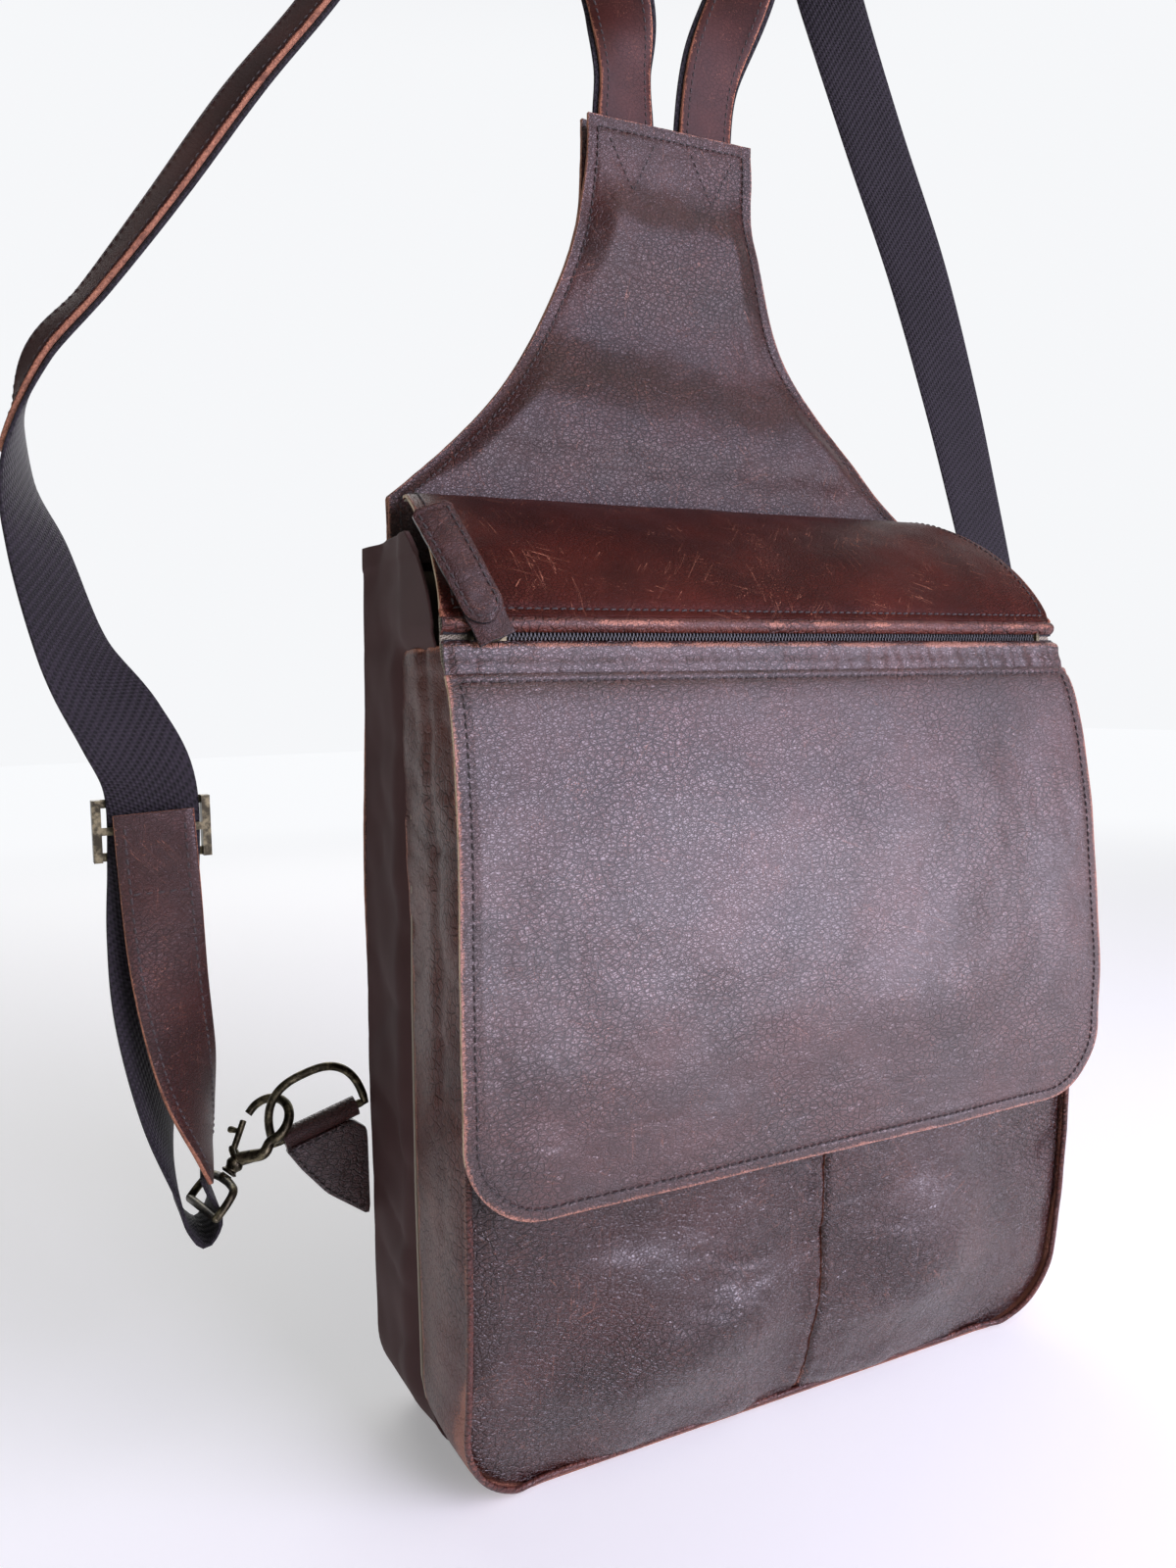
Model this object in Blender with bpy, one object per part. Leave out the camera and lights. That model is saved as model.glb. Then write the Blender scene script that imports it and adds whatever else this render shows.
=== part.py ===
"""Leather backpack with a yoke, a zip flap, two webbing straps and snap hooks.

Metres, +Z up. The bag stands on its flat base at z = 0 and its front faces -Y.
The origin is on the base, midway between the sides, at the seam of the two compartments.
"""

import math

import bmesh
import bpy
from mathutils import Matrix, Vector

MM = 0.001
GAP = 0.4 * MM

# Body
BODY_HALF_WIDTH = 147 * MM
REAR_TOP = 353 * MM
REAR_TOP_HALF_WIDTH = 141.5 * MM
FRONT_TOP = 311 * MM
FRONT_TOP_HALF_WIDTH = 139.5 * MM
FRONT_HALF_WIDTH = 143.5 * MM
CORNER_RADIUS = 34 * MM
BACK_Y = 43 * MM
SEAM_Y = -4 * MM
GUSSET_THICKNESS = 1.8 * MM
PANEL_THICKNESS = 2 * MM
PANEL_SEAM_X = 6 * MM

# Yoke
YOKE_BASE = 374 * MM
YOKE_TOP = 537 * MM
YOKE_STEP = 355 * MM
YOKE_BASE_HALF_WIDTH = 132 * MM
YOKE_TOP_HALF_WIDTH = 41 * MM
YOKE_FACING_Y = 35.8 * MM

# Flap
FLAP_REAR_HALF_WIDTH = 128 * MM
FLAP_ZIP_HALF_WIDTH = 143 * MM
FLAP_HALF_WIDTH = 148 * MM
FLAP_BOTTOM = 115 * MM
FLAP_CORNER = 31 * MM
FLAP_FOLD_Z = 361 * MM
ZIP_Z = 314 * MM
FLAP_LEATHER = 1.6 * MM
FLAP_LINING = 0.8 * MM
FLAP_STACK = 4.4 * MM
ZIP_LENGTH = 262 * MM
UNDER_LEATHER = 1.95 * MM
FLAP_HINGE = Vector((0, 34.5, 372)) * MM
MAGNET_X = 122 * MM
MAGNET_Z = 137 * MM
MAGNET_RADIUS = 8 * MM
MAGNET_THICKNESS = 1.2 * MM
FLAP_TOP_PIECES = ("flap_top_leather", "flap_top_lining")
FLAP_FRONT_PIECES = (
    "flap_shoulder_leather", "zip_upper_lip", "zip_lower_band", "flap_front_leather", "flap_front_lining",
    "flap_pocket_bag", "zip_tape_upper", "zip_tape_lower", "zip_teeth_upper", "zip_teeth_lower",
    "zip_stop_left", "zip_stop_right", "magnet_left", "magnet_right",
)

# Straps
WEBBING_WIDTH = 30 * MM
WEBBING_THICKNESS = 1.4 * MM
LEATHER_WIDTH = 26 * MM
LEATHER_THICKNESS = 2 * MM

# Metal fittings
RING_WIRE = 1.7 * MM
RING_HALF_BAR = 19.5 * MM
RING_HEIGHT = 24 * MM
RING_TILT = math.radians(12)
HOOK_WIRE = 2.1 * MM
HOOK_MOUTH = 7.3 * MM

# Outer side of the flap as (y, z), from its seam on the back panel, over the top and down the front
FLAP_PROFILE = [
    (33.5, 374.0), (18, 371.5), (0, 364), (-24, 349), (-39, 333), (-46.5, 318),
    (-49.5, 306), (-57.5, 290), (-63, 265), (-66, 234), (-69, 177), (-68.5, 145), (-67.5, 115),
]

# Shoulder strap: middle of the webbing, then the direction that its leather side faces
LEFT_STRAP = [
    ((-21, 41.9, 512), (0, -1, 0)), ((-21, 41.9, 538), (0, -1, 0)), ((-22, 40, 560), (0.1, -1, 0)),
    ((-25, 38, 588), (-0.6, -0.8, 0.1)), ((-44, 35, 622), (-0.8, -0.4, 0.6)),
    ((-84, 30, 630), (-0.2, -0.3, 1)), ((-126, 25, 594), (-0.6, -0.35, 0.7)),
    ((-158, 20, 546), (-0.75, -0.4, 0.5)), ((-187, 16, 507), (-0.75, -0.4, 0.5)),
    ((-215, 12, 465), (-0.75, -0.35, 0.5)), ((-239, 12, 431), (-0.75, -0.3, 0.6)),
    ((-258, 14, 407), (-0.9, -0.25, 0.3)), ((-266, 14, 372), (-0.95, 0.3, 0)),
    ((-261, 12, 345), (-0.75, 0.65, -0.1)), ((-252, 8, 311), (-0.6, 0.8, -0.1)),
    ((-239, 5, 286), (-0.2, 0.95, 0)), ((-231, 4, 266), (0, 1, 0)), ((-231, 4, 238), (0, 1, 0)),
]
RIGHT_STRAP = [
    ((19, 41.9, 512), (0, -1, 0)), ((19, 41.9, 538), (0, -1, 0)), ((21, 37, 566), (0, -1, 0.1)),
    ((33, 31, 598), (-0.3, -0.9, 0.3)), ((50, 33, 640), (-0.6, -0.6, 0.5)),
    ((73, 44, 664), (0.1, 0, 1)), ((92, 55, 650), (0.6, 0.5, 0.5)), ((108, 60, 622), (0.5, 0.85, 0.2)),
    ((134, 62, 568), (0.4, 0.9, 0.2)), ((162, 62, 508), (0.4, 0.9, 0.2)),
    ((184, 61, 446), (0.3, 0.95, 0.1)), ((199, 60, 396), (0.2, 1, 0)),
    ((211, 57, 345), (0.1, 1, 0)), ((214, 50, 300), (0.1, 1, 0)), ((212, 44, 266), (0, 1, 0)),
    ((212, 44, 238), (0, 1, 0)),
]
STRAP_LEATHER_SHARE = {"left": 0.445, "right": 0.455}
STRAP_STEPS = 96

# The left webbing goes on round the hook's bar; its direction faces out of this loop
LEFT_LOOP = [
    ((-233, 8, 214), (-0.3, 0.95, 0)), ((-234, 14, 186), (-0.6, 0.8, 0)),
    ((-231, 24, 150), (-0.85, 0.5, 0)), ((-226.5, 32, 118), (-1, 0.1, -0.1)),
    ((-224, 34, 101), (-0.9, 0, -0.4)), ((-218, 34, 93), (-0.1, 0, -1)),
    ((-212.6, 34, 99), (0.9, 0, -0.3)), ((-212.6, 34, 106), (1, 0, 0)),
    ((-215.2, 33, 114), (1, 0, 0)), ((-216.5, 30, 124), (0.97, -0.15, 0)),
]
LEFT_END = [
    ((-231, -1.6, 257), (0, -1, 0)), ((-230, -1.5, 236), (-0.1, -1, 0)),
    ((-228, 2, 200), (0.2, -0.98, 0)), ((-223, 12, 165), (0.5, -0.85, 0)),
    ((-217, 24, 136), (0.85, -0.4, 0)), ((-214.6, 29.5, 122), (0.97, -0.15, 0)),
]

# Places on the left side; the right side is mirrored, with its strap end set further back
ADJUSTER = Vector((-231, 4, 251)) * MM
HOOK_BAR = Vector((-216.5, 34, 102)) * MM
RING_BAR_LOW = Vector((-187, 43.4, 118)) * MM
RING_BAR_HIGH = Vector((-150, 43.4, 129)) * MM
WING_OUTLINE = [(-183, 115), (-177, 106), (-167, 94), (-149.5, 81), (-149.5, 118), (-156, 123)]


def clear_scene():
    for item in list(bpy.data.objects):
        bpy.data.objects.remove(item, do_unlink=True)


def material(name, color, roughness, metallic=0.0):
    mat = bpy.data.materials.new(name)
    mat.use_nodes = True
    shader = mat.node_tree.nodes["Principled BSDF"]
    shader.inputs["Base Color"].default_value = (*color, 1)
    shader.inputs["Roughness"].default_value = roughness
    shader.inputs["Metallic"].default_value = metallic
    mat.diffuse_color = (*color, 1)
    return mat


LEATHER = ("leather", (0.075, 0.024, 0.018), 0.4)
SHOULDER = ("glossy_leather", (0.09, 0.022, 0.014), 0.32)
GUSSET = ("gusset_fabric", (0.05, 0.028, 0.026), 0.75)
LINING = ("lining", (0.55, 0.47, 0.36), 0.8)
WEBBING = ("webbing", (0.018, 0.013, 0.017), 0.65)
BRASS = ("antique_brass", (0.12, 0.11, 0.075), 0.38, 1.0)
ZIP_BLACK = ("zip_plastic", (0.012, 0.012, 0.012), 0.35)
FOAM = ("foam", (0.08, 0.08, 0.08), 0.9)
BOARD = ("board", (0.25, 0.18, 0.12), 0.8)
STEEL = ("magnet_steel", (0.5, 0.5, 0.5), 0.35, 1.0)


def add_object(name, mesh, finish, smooth=True):
    item = bpy.data.objects.new(name, mesh)
    bpy.context.collection.objects.link(item)
    mesh.materials.append(material(name + "_" + finish[0], *finish[1:]))
    if smooth:
        mesh.shade_smooth()
        mesh.set_sharp_from_angle(angle=math.radians(40))
    return item


def closed_sheet(name, outer, inner, finish):
    """Closed solid between two grids of points with equal rows and columns."""
    rows, columns = len(outer), len(outer[0])
    shape = bmesh.new()
    tops = [[shape.verts.new(p) for p in row] for row in outer]
    unders = [[shape.verts.new(p) for p in row] for row in inner]
    for i in range(rows - 1):
        for j in range(columns - 1):
            shape.faces.new((tops[i][j], tops[i + 1][j], tops[i + 1][j + 1], tops[i][j + 1]))
            shape.faces.new((unders[i][j], unders[i][j + 1], unders[i + 1][j + 1], unders[i + 1][j]))
    for i in range(rows - 1):
        for j in (0, columns - 1):
            shape.faces.new((tops[i][j], tops[i + 1][j], unders[i + 1][j], unders[i][j]))
    for j in range(columns - 1):
        for i in (0, rows - 1):
            shape.faces.new((tops[i][j], tops[i][j + 1], unders[i][j + 1], unders[i][j]))
    bmesh.ops.recalc_face_normals(shape, faces=shape.faces)
    mesh = bpy.data.meshes.new(name)
    shape.to_mesh(mesh)
    shape.free()
    return add_object(name, mesh, finish)


def smooth_curve(points, steps):
    """Points along a Catmull-Rom curve through the given vectors."""
    ends = [2 * points[0] - points[1]] + list(points) + [2 * points[-1] - points[-2]]
    found = []
    spans = len(points) - 1
    for k in range(steps + 1):
        place = k / steps * spans
        i = min(int(place), spans - 1)
        t = place - i
        a, b, c, d = ends[i], ends[i + 1], ends[i + 2], ends[i + 3]
        found.append(0.5 * (2 * b + (c - a) * t + (2 * a - 5 * b + 4 * c - d) * t * t
                            + (3 * b - a - 3 * c + d) * t ** 3))
    return found


def box_mesh(name, low, high):
    corners = [(x, y, z) for x in (low[0], high[0]) for y in (low[1], high[1]) for z in (low[2], high[2])]
    shape = bmesh.new()
    verts = [shape.verts.new(c) for c in corners]
    for ring in ((0, 1, 3, 2), (4, 6, 7, 5), (0, 4, 5, 1), (2, 3, 7, 6), (0, 2, 6, 4), (1, 5, 7, 3)):
        shape.faces.new([verts[i] for i in ring])
    bmesh.ops.recalc_face_normals(shape, faces=shape.faces)
    mesh = bpy.data.meshes.new(name)
    shape.to_mesh(mesh)
    shape.free()
    return mesh


def box(name, low, high, finish):
    return add_object(name, box_mesh(name, low, high), finish, smooth=False)


def cylinder_mesh(name, start, end, radius, sides=16):
    shape = bmesh.new()
    along = end - start
    turn = along.to_track_quat("Z", "Y").to_matrix().to_4x4()
    place = Matrix.Translation((start + end) / 2) @ turn
    bmesh.ops.create_cone(shape, cap_ends=True, segments=sides, radius1=radius, radius2=radius,
                          depth=along.length, matrix=place)
    mesh = bpy.data.meshes.new(name)
    shape.to_mesh(mesh)
    shape.free()
    return mesh


def helper(name, mesh):
    item = bpy.data.objects.new(name, mesh)
    bpy.context.collection.objects.link(item)
    item.hide_render = True
    item.display_type = "WIRE"
    return item


def combine(item, other, operation):
    modifier = item.modifiers.new(operation.lower() + "_" + other.name, "BOOLEAN")
    modifier.operation = operation
    modifier.object = other


def set_origin(item, place):
    """Move the object's origin to a place on its joint axis and leave its shape where it is."""
    item.data.transform(Matrix.Translation(-place))
    item.location = place


def tube(name, points, radius, finish, closed=False, sides=2):
    """Round wire through the points; radius is one number or one for each point."""
    curve = bpy.data.curves.new(name, "CURVE")
    curve.dimensions = "3D"
    curve.bevel_depth = 1
    curve.bevel_resolution = sides
    curve.use_fill_caps = not closed
    spline = curve.splines.new("POLY")
    spline.points.add(len(points) - 1)
    radii = radius if isinstance(radius, list) else [radius] * len(points)
    for place, point, size in zip(spline.points, points, radii):
        place.co = (*point, 1)
        place.radius = size
    spline.use_cyclic_u = closed
    item = bpy.data.objects.new(name, curve)
    bpy.context.collection.objects.link(item)
    curve.materials.append(material(name + "_" + finish[0], *finish[1:]))
    return item


def as_mesh(item):
    """Turn a curve object into a mesh object of the same name, so that a Boolean can use it."""
    graph = bpy.context.evaluated_depsgraph_get()
    mesh = bpy.data.meshes.new_from_object(item.evaluated_get(graph))
    name = item.name
    mat = item.data.materials[0]
    bpy.data.objects.remove(item, do_unlink=True)
    shape = bmesh.new()
    shape.from_mesh(mesh)
    bmesh.ops.remove_doubles(shape, verts=shape.verts, dist=1e-6)
    bmesh.ops.recalc_face_normals(shape, faces=shape.faces)
    shape.to_mesh(mesh)
    shape.free()
    found = bpy.data.objects.new(name, mesh)
    bpy.context.collection.objects.link(found)
    mesh.materials.clear()
    mesh.materials.append(mat)
    mesh.shade_smooth()
    mesh.set_sharp_from_angle(angle=math.radians(40))
    return found


# ---- bag body ------------------------------------------------------------------------------


def u_outline(half_top, half_width, top, bottom, radius, inset=0.0):
    """Points of a U, from its left end down, along the base and up to its right end."""
    wide = half_width - inset
    low = bottom + inset
    curve = radius - inset
    right = [(wide - curve, low)]
    turns = 5
    for k in range(1, turns + 1):
        angle = -math.pi / 2 + k / turns * math.pi / 2
        right.append((wide - curve + curve * math.cos(angle), low + curve + curve * math.sin(angle)))
    heights = 4
    for k in range(1, heights + 1):
        share = k / heights
        narrow = (half_width - half_top) * max(0.0, share * 1.6 - 0.6)
        right.append((wide - narrow, low + curve + (top - low - curve) * share))
    left = [(-x, z) for x, z in reversed(right)]
    return left + right


def seam_depth(z):
    """y of the seam between the front gusset and the front panel."""
    if z > 130 * MM:
        return (-55 + 14 * (max(0.0, z / MM - 200) / 111) ** 1.6) * MM
    return (-36 - 19 * math.sin(math.pi / 2 * min(1, z / MM / 130)) ** 0.6) * MM


def gusset(name, half_top, half_width, top, rear_y, front_y, finish, radius=CORNER_RADIUS):
    outside = u_outline(half_top, half_width, top, 0, radius)
    inside = u_outline(half_top, half_width, top, 0, radius, GUSSET_THICKNESS)
    shares = (0, 0.5, 1)

    def grid(outline):
        return [[(x, rear_y + (front_y(z) - rear_y) * s, z) for s in shares] for x, z in outline]

    return closed_sheet(name, grid(outside), grid(inside), finish)


def panel_half_width(z):
    """Half the width inside the front gusset at height z."""
    wide = FRONT_HALF_WIDTH - GUSSET_THICKNESS - GAP
    curve = CORNER_RADIUS - GUSSET_THICKNESS - GAP
    low = GUSSET_THICKNESS + GAP
    if z < low + curve:
        drop = low + curve - z
        return wide - curve + math.sqrt(max(0.0, curve ** 2 - drop ** 2))
    share = (z - low - curve) / (FRONT_TOP - low - curve)
    return wide - (FRONT_HALF_WIDTH - FRONT_TOP_HALF_WIDTH) * max(0.0, share * 1.6 - 0.6)


def front_surface(x, z):
    """y of the front panel's outer side."""
    across = 1 - (x / panel_half_width(z)) ** 2
    up = math.sin(math.pi * min(1, (z / FRONT_TOP) ** 0.75))
    return seam_depth(z) + 2.2 * MM - 6 * MM * max(0.0, across) ** 0.6 * up


def front_panel(name, left_share, right_share):
    """Part of the front panel between two places across it: -1 and 1 are the gussets."""
    rows = []
    lowest = GUSSET_THICKNESS + 2 * GAP
    steps = 14
    for row in range(steps + 1):
        z = lowest + (FRONT_TOP - 9 * MM) * (row / steps) ** 1.15
        half = panel_half_width(z)
        low = -half if left_share < 0 else PANEL_SEAM_X + GAP / 2
        high = half if right_share > 0 else PANEL_SEAM_X - GAP / 2
        rows.append([(low + (high - low) * k / 8, z) for k in range(9)])
    outer = [[(x, front_surface(x, z), z) for x, z in row] for row in rows]
    inner = [[(x, front_surface(x, z) + PANEL_THICKNESS, z) for x, z in row] for row in rows]
    return closed_sheet(name, outer, inner, LEATHER)


def flat_u_panel(name, y_front, y_rear, margin, top, finish):
    """Flat panel that fills the rear gusset's U."""
    inset = GUSSET_THICKNESS + margin
    outline = u_outline(REAR_TOP_HALF_WIDTH, BODY_HALF_WIDTH, top, 0, CORNER_RADIUS, inset)
    half = len(outline) // 2
    rights = outline[half:]
    columns = 6
    rows = [[(-x + 2 * x * k / columns, z) for k in range(columns + 1)] for x, z in rights]
    front = [[(x, y_front, z) for x, z in row] for row in rows]
    rear = [[(x, y_rear, z) for x, z in row] for row in rows]
    return closed_sheet(name, front, rear, finish)


def yoke_half_width(z):
    """Half the width of the back panel and yoke: straight body, concave sides above YOKE_BASE."""
    if z <= YOKE_BASE:
        return YOKE_BASE_HALF_WIDTH
    share = (z - YOKE_BASE) / (YOKE_TOP - YOKE_BASE)
    return YOKE_TOP_HALF_WIDTH + (YOKE_BASE_HALF_WIDTH - YOKE_TOP_HALF_WIDTH) * (1 - share) ** 2.35


def yoke_sheet(name, y_front, y_rear, z_low, z_high, margin, finish, count=12):
    rows = []
    for k in range(count + 1):
        z = z_low + (z_high - z_low) * k / count
        half = yoke_half_width(z) - margin
        rows.append([(-half + 2 * half * j / 4, z) for j in range(5)])
    front = [[(x, y_front, z) for x, z in row] for row in rows]
    rear = [[(x, y_rear, z) for x, z in row] for row in rows]
    return closed_sheet(name, front, rear, finish)


def back_panel():
    """Rear leather: the body's back, its square shoulders and the yoke, in one piece."""
    rows = []
    radius = CORNER_RADIUS
    body = BODY_HALF_WIDTH - 0.5 * MM
    for k in range(6):
        angle = k / 5 * math.pi / 2
        rows.append((body - radius + radius * math.sin(angle), 0.5 * MM + radius * (1 - math.cos(angle))))
    rows.append((body, 0.6 * YOKE_STEP))
    rows.append((REAR_TOP_HALF_WIDTH, REAR_TOP - 0.5 * MM))
    rows.append((YOKE_BASE_HALF_WIDTH, YOKE_STEP))
    for k in range(11):
        z = YOKE_BASE + (YOKE_TOP - YOKE_BASE) * k / 10
        rows.append((yoke_half_width(z), z))
    grid = [[(-half + 2 * half * j / 4, z) for j in range(5)] for half, z in rows]
    front = [[(x, BACK_Y, z) for x, z in row] for row in grid]
    rear = [[(x, BACK_Y + PANEL_THICKNESS, z) for x, z in row] for row in grid]
    return closed_sheet("back_panel", front, rear, LEATHER)


def piping():
    """Cord along the seam of the front gusset and the front panel."""
    top = FRONT_TOP - 2 * MM
    outline = u_outline(FRONT_TOP_HALF_WIDTH, FRONT_HALF_WIDTH, top, 0, CORNER_RADIUS, 1.2 * MM)
    points = [Vector((x, seam_depth(z) - 1.6 * MM, z)) for x, z in outline]
    return tube("front_piping", points, 1.0 * MM, LEATHER, sides=1)


def build_body():
    gusset("rear_gusset", REAR_TOP_HALF_WIDTH, BODY_HALF_WIDTH, REAR_TOP, BACK_Y - GAP,
           lambda z: SEAM_Y, GUSSET)
    gusset("front_gusset", FRONT_TOP_HALF_WIDTH, FRONT_HALF_WIDTH, FRONT_TOP, SEAM_Y - GAP,
           seam_depth, LEATHER)
    back_panel()
    front_panel("front_panel_left", -1, 0)
    front_panel("front_panel_right", 0, 1)
    piping()
    flat_u_panel("back_foam", 36.5 * MM, 42.2 * MM, 1.5 * MM, 340 * MM, FOAM)
    flat_u_panel("back_lining", 35.2 * MM, 36.1 * MM, 1 * MM, 344 * MM, LINING)
    flat_u_panel("divider_panel", -3.2 * MM, -1.8 * MM, 1 * MM, 325 * MM, LEATHER)
    box("base_board", (-110 * MM, 0.5 * MM, 2.4 * MM), (110 * MM, 34 * MM, 4.4 * MM), BOARD)
    facing_rear = YOKE_FACING_Y + PANEL_THICKNESS
    yoke_sheet("yoke_facing", YOKE_FACING_Y, facing_rear, 378.5 * MM, YOKE_TOP, 0, LEATHER)
    yoke_sheet("yoke_stiffener", 39 * MM, 42 * MM, 383 * MM, 503 * MM, 6 * MM, BOARD, 8)
    for side, sign in (("left", -1), ("right", 1)):
        centre = Vector((sign * MAGNET_X, -51.5 * MM, MAGNET_Z))
        rear = centre + Vector((0, MAGNET_THICKNESS, 0))
        mesh = cylinder_mesh("magnet_plate_" + side, centre, rear, MAGNET_RADIUS)
        add_object("magnet_plate_" + side, mesh, STEEL)


# ---- flap ----------------------------------------------------------------------------------


class Flap:
    """Outer side of the flap: a smooth profile, with the half width at each place along it."""

    def __init__(self):
        points = [Vector((0, y * MM, z * MM)) for y, z in FLAP_PROFILE]
        self.line = smooth_curve(points, 120)
        self.far = [0.0]
        for a, b in zip(self.line, self.line[1:]):
            self.far.append(self.far[-1] + (b - a).length)

    def at_height(self, z):
        """Distance along the profile where it comes down to height z."""
        for i in range(len(self.line) - 1):
            high, low = self.line[i].z, self.line[i + 1].z
            if high >= z >= low:
                share = (high - z) / max(1e-9, high - low)
                return self.far[i] + share * (self.far[i + 1] - self.far[i])
        return self.far[-1]

    def point(self, distance, depth):
        """Point of the profile at a distance along it and a depth inside it."""
        i = 0
        while i < len(self.far) - 2 and self.far[i + 1] < distance:
            i += 1
        share = (distance - self.far[i]) / (self.far[i + 1] - self.far[i])
        along = (self.line[i + 1] - self.line[i]).normalized()
        inward = Vector((0, -along.z, along.y))
        return self.line[i].lerp(self.line[i + 1], share) + inward * depth

    def half_width(self, distance):
        place = self.point(distance, 0)
        if place.z > ZIP_Z:
            share = distance / self.at_height(ZIP_Z)
            return FLAP_REAR_HALF_WIDTH + (FLAP_ZIP_HALF_WIDTH - FLAP_REAR_HALF_WIDTH) * share ** 0.7
        share = min(1, (ZIP_Z - place.z) / (ZIP_Z - 177 * MM))
        wide = FLAP_ZIP_HALF_WIDTH + (FLAP_HALF_WIDTH - FLAP_ZIP_HALF_WIDTH) * share
        drop = FLAP_BOTTOM + FLAP_CORNER - place.z
        if drop > 0:
            wide -= FLAP_CORNER - math.sqrt(max(0.0, FLAP_CORNER ** 2 - drop ** 2))
        return wide

    def sheet(self, name, start, end, depth, thickness, margin, finish, count=6, columns=8):
        """Layer of the flap between two distances along its profile."""
        outer, inner = [], []
        for k in range(count + 1):
            distance = start + (end - start) * k / count
            half = self.half_width(distance) - margin
            across = [-half + 2 * half * j / columns for j in range(columns + 1)]
            for grid, deep in ((outer, depth), (inner, depth + thickness)):
                place = self.point(distance, deep)
                grid.append([(x, place.y, place.z) for x in across])
        return closed_sheet(name, outer, inner, finish)


def zip_bar(name, flap, distance_start, distance_end, depth, thickness, half_length):
    outer, inner = [], []
    for distance in (distance_start, distance_end):
        for grid, deep in ((outer, depth), (inner, depth + thickness)):
            place = flap.point(distance, deep)
            grid.append([(x, place.y, place.z) for x in (-half_length, half_length)])
    return closed_sheet(name, outer, inner, ZIP_BLACK)


def build_flap():
    flap = Flap()
    fold = flap.at_height(FLAP_FOLD_Z)
    zip_line = flap.at_height(ZIP_Z)
    end = flap.far[-1] - 0.1 * MM
    lining_depth = FLAP_STACK - FLAP_LINING
    half_slot = 2.2 * MM
    lip = 5.5 * MM
    flap.sheet("flap_top_leather", 0, fold - GAP, 0, FLAP_LEATHER, 0, SHOULDER, 4)
    flap.sheet("flap_top_lining", 2 * MM, fold - 2 * MM, lining_depth, FLAP_LINING, 1 * MM, LINING, 3)
    flap.sheet("flap_shoulder_leather", fold + GAP, zip_line - half_slot - lip - GAP, 0, FLAP_LEATHER, 0,
               SHOULDER, 6)
    flap.sheet("zip_upper_lip", zip_line - half_slot - lip, zip_line - half_slot, 0, FLAP_LEATHER, 0,
               LEATHER, 1)
    flap.sheet("zip_lower_band", zip_line + half_slot, zip_line + half_slot + 2 * lip, 0, FLAP_LEATHER, 0,
               LEATHER, 1)
    flap.sheet("flap_front_leather", zip_line + half_slot + 2 * lip + GAP, end, 0, FLAP_LEATHER, 0,
               LEATHER, 14)
    flap.sheet("flap_front_lining", fold + 2 * MM, end, lining_depth, FLAP_LINING, 1 * MM, LINING, 18)
    pocket_end = flap.at_height(158 * MM)
    flap.sheet("flap_pocket_bag", zip_line + 9 * MM, pocket_end, UNDER_LEATHER, 1.2 * MM, 10 * MM, GUSSET, 8)
    tape = 8 * MM
    teeth = 1.1 * MM
    half_zip = ZIP_LENGTH / 2
    for name, sign in (("upper", -1), ("lower", 1)):
        near, far = sorted((zip_line + sign * (teeth + GAP), zip_line + sign * tape))
        zip_bar("zip_tape_" + name, flap, near, far, UNDER_LEATHER, 0.6 * MM, half_zip)
        near, far = sorted((zip_line + sign * GAP / 2, zip_line + sign * teeth))
        zip_bar("zip_teeth_" + name, flap, near, far, 0.9 * MM, 1.8 * MM, half_zip)
    middle = flap.point(zip_line, 0.9 * MM)
    for side, sign in (("left", -1), ("right", 1)):
        edge = sign * (half_zip + 1.2 * MM)
        low = (edge - 0.8 * MM, middle.y, middle.z - 1.6 * MM)
        box("zip_stop_" + side, low, (edge + 0.8 * MM, middle.y + 1.8 * MM, middle.z + 1.6 * MM), ZIP_BLACK)
        place = flap.point(flap.at_height(MAGNET_Z), UNDER_LEATHER)
        centre = Vector((sign * MAGNET_X, place.y, place.z))
        rear = centre + Vector((0, MAGNET_THICKNESS, 0))
        mesh = cylinder_mesh("magnet_" + side, centre, rear, MAGNET_RADIUS)
        add_object("magnet_" + side, mesh, STEEL)
    for name in FLAP_TOP_PIECES:
        set_origin(bpy.data.objects[name], FLAP_HINGE)
    for name in FLAP_FRONT_PIECES:
        set_origin(bpy.data.objects[name], flap.point(fold, 0))
    return flap, zip_line


def build_slider(flap, zip_line):
    """Zip slider at the closed end, with the ring and the leather pull tab that turn on it."""
    front = flap.point(zip_line, 0)
    x = -ZIP_LENGTH / 2 + 6 * MM
    top = front.y + 0.5 * MM
    low = (x - 4.5 * MM, top - 2.6 * MM, front.z - 1.9 * MM)
    slider = box("zip_slider", low, (x + 4.5 * MM, top, front.z + 1.9 * MM), BRASS)
    set_origin(slider, Vector((x, top, front.z)))
    pivot = Vector((x, top - 4.4 * MM, front.z - 1 * MM))
    lean = Vector((-0.32, 0.36, 0.88)).normalized()
    across = Vector((0.94, 0, 0.34)).normalized()
    across = (across - lean * across.dot(lean)).normalized()
    face = across.cross(lean).normalized()
    if face.y > 0:
        face = -face
    arm = [pivot + across * a * MM + lean * b * MM for a, b in
           ((-4, 0), (-4.6, 4), (-4, 8), (0, 9), (4, 8), (4.6, 4), (4, 0), (0, -0.6))]
    set_origin(tube("zip_slider_ring", arm, 0.8 * MM, BRASS, closed=True, sides=1), pivot)
    rows = []
    for along, half in ((10.4, 7.0), (13, 7.5), (24, 7.5), (36, 7.5), (47, 7.5), (50, 6.6), (52, 4.4)):
        rows.append([pivot + across * half * MM * k / 2 + lean * along * MM for k in range(-2, 3)])
    lift = 1.6 * MM
    outer = [[p + face * (lift + 1.7 * MM) for p in row] for row in rows]
    inner = [[p + face * (lift - 1.7 * MM) for p in row] for row in rows]
    set_origin(closed_sheet("zip_pull_tab", outer, inner, LEATHER), pivot)


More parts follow.
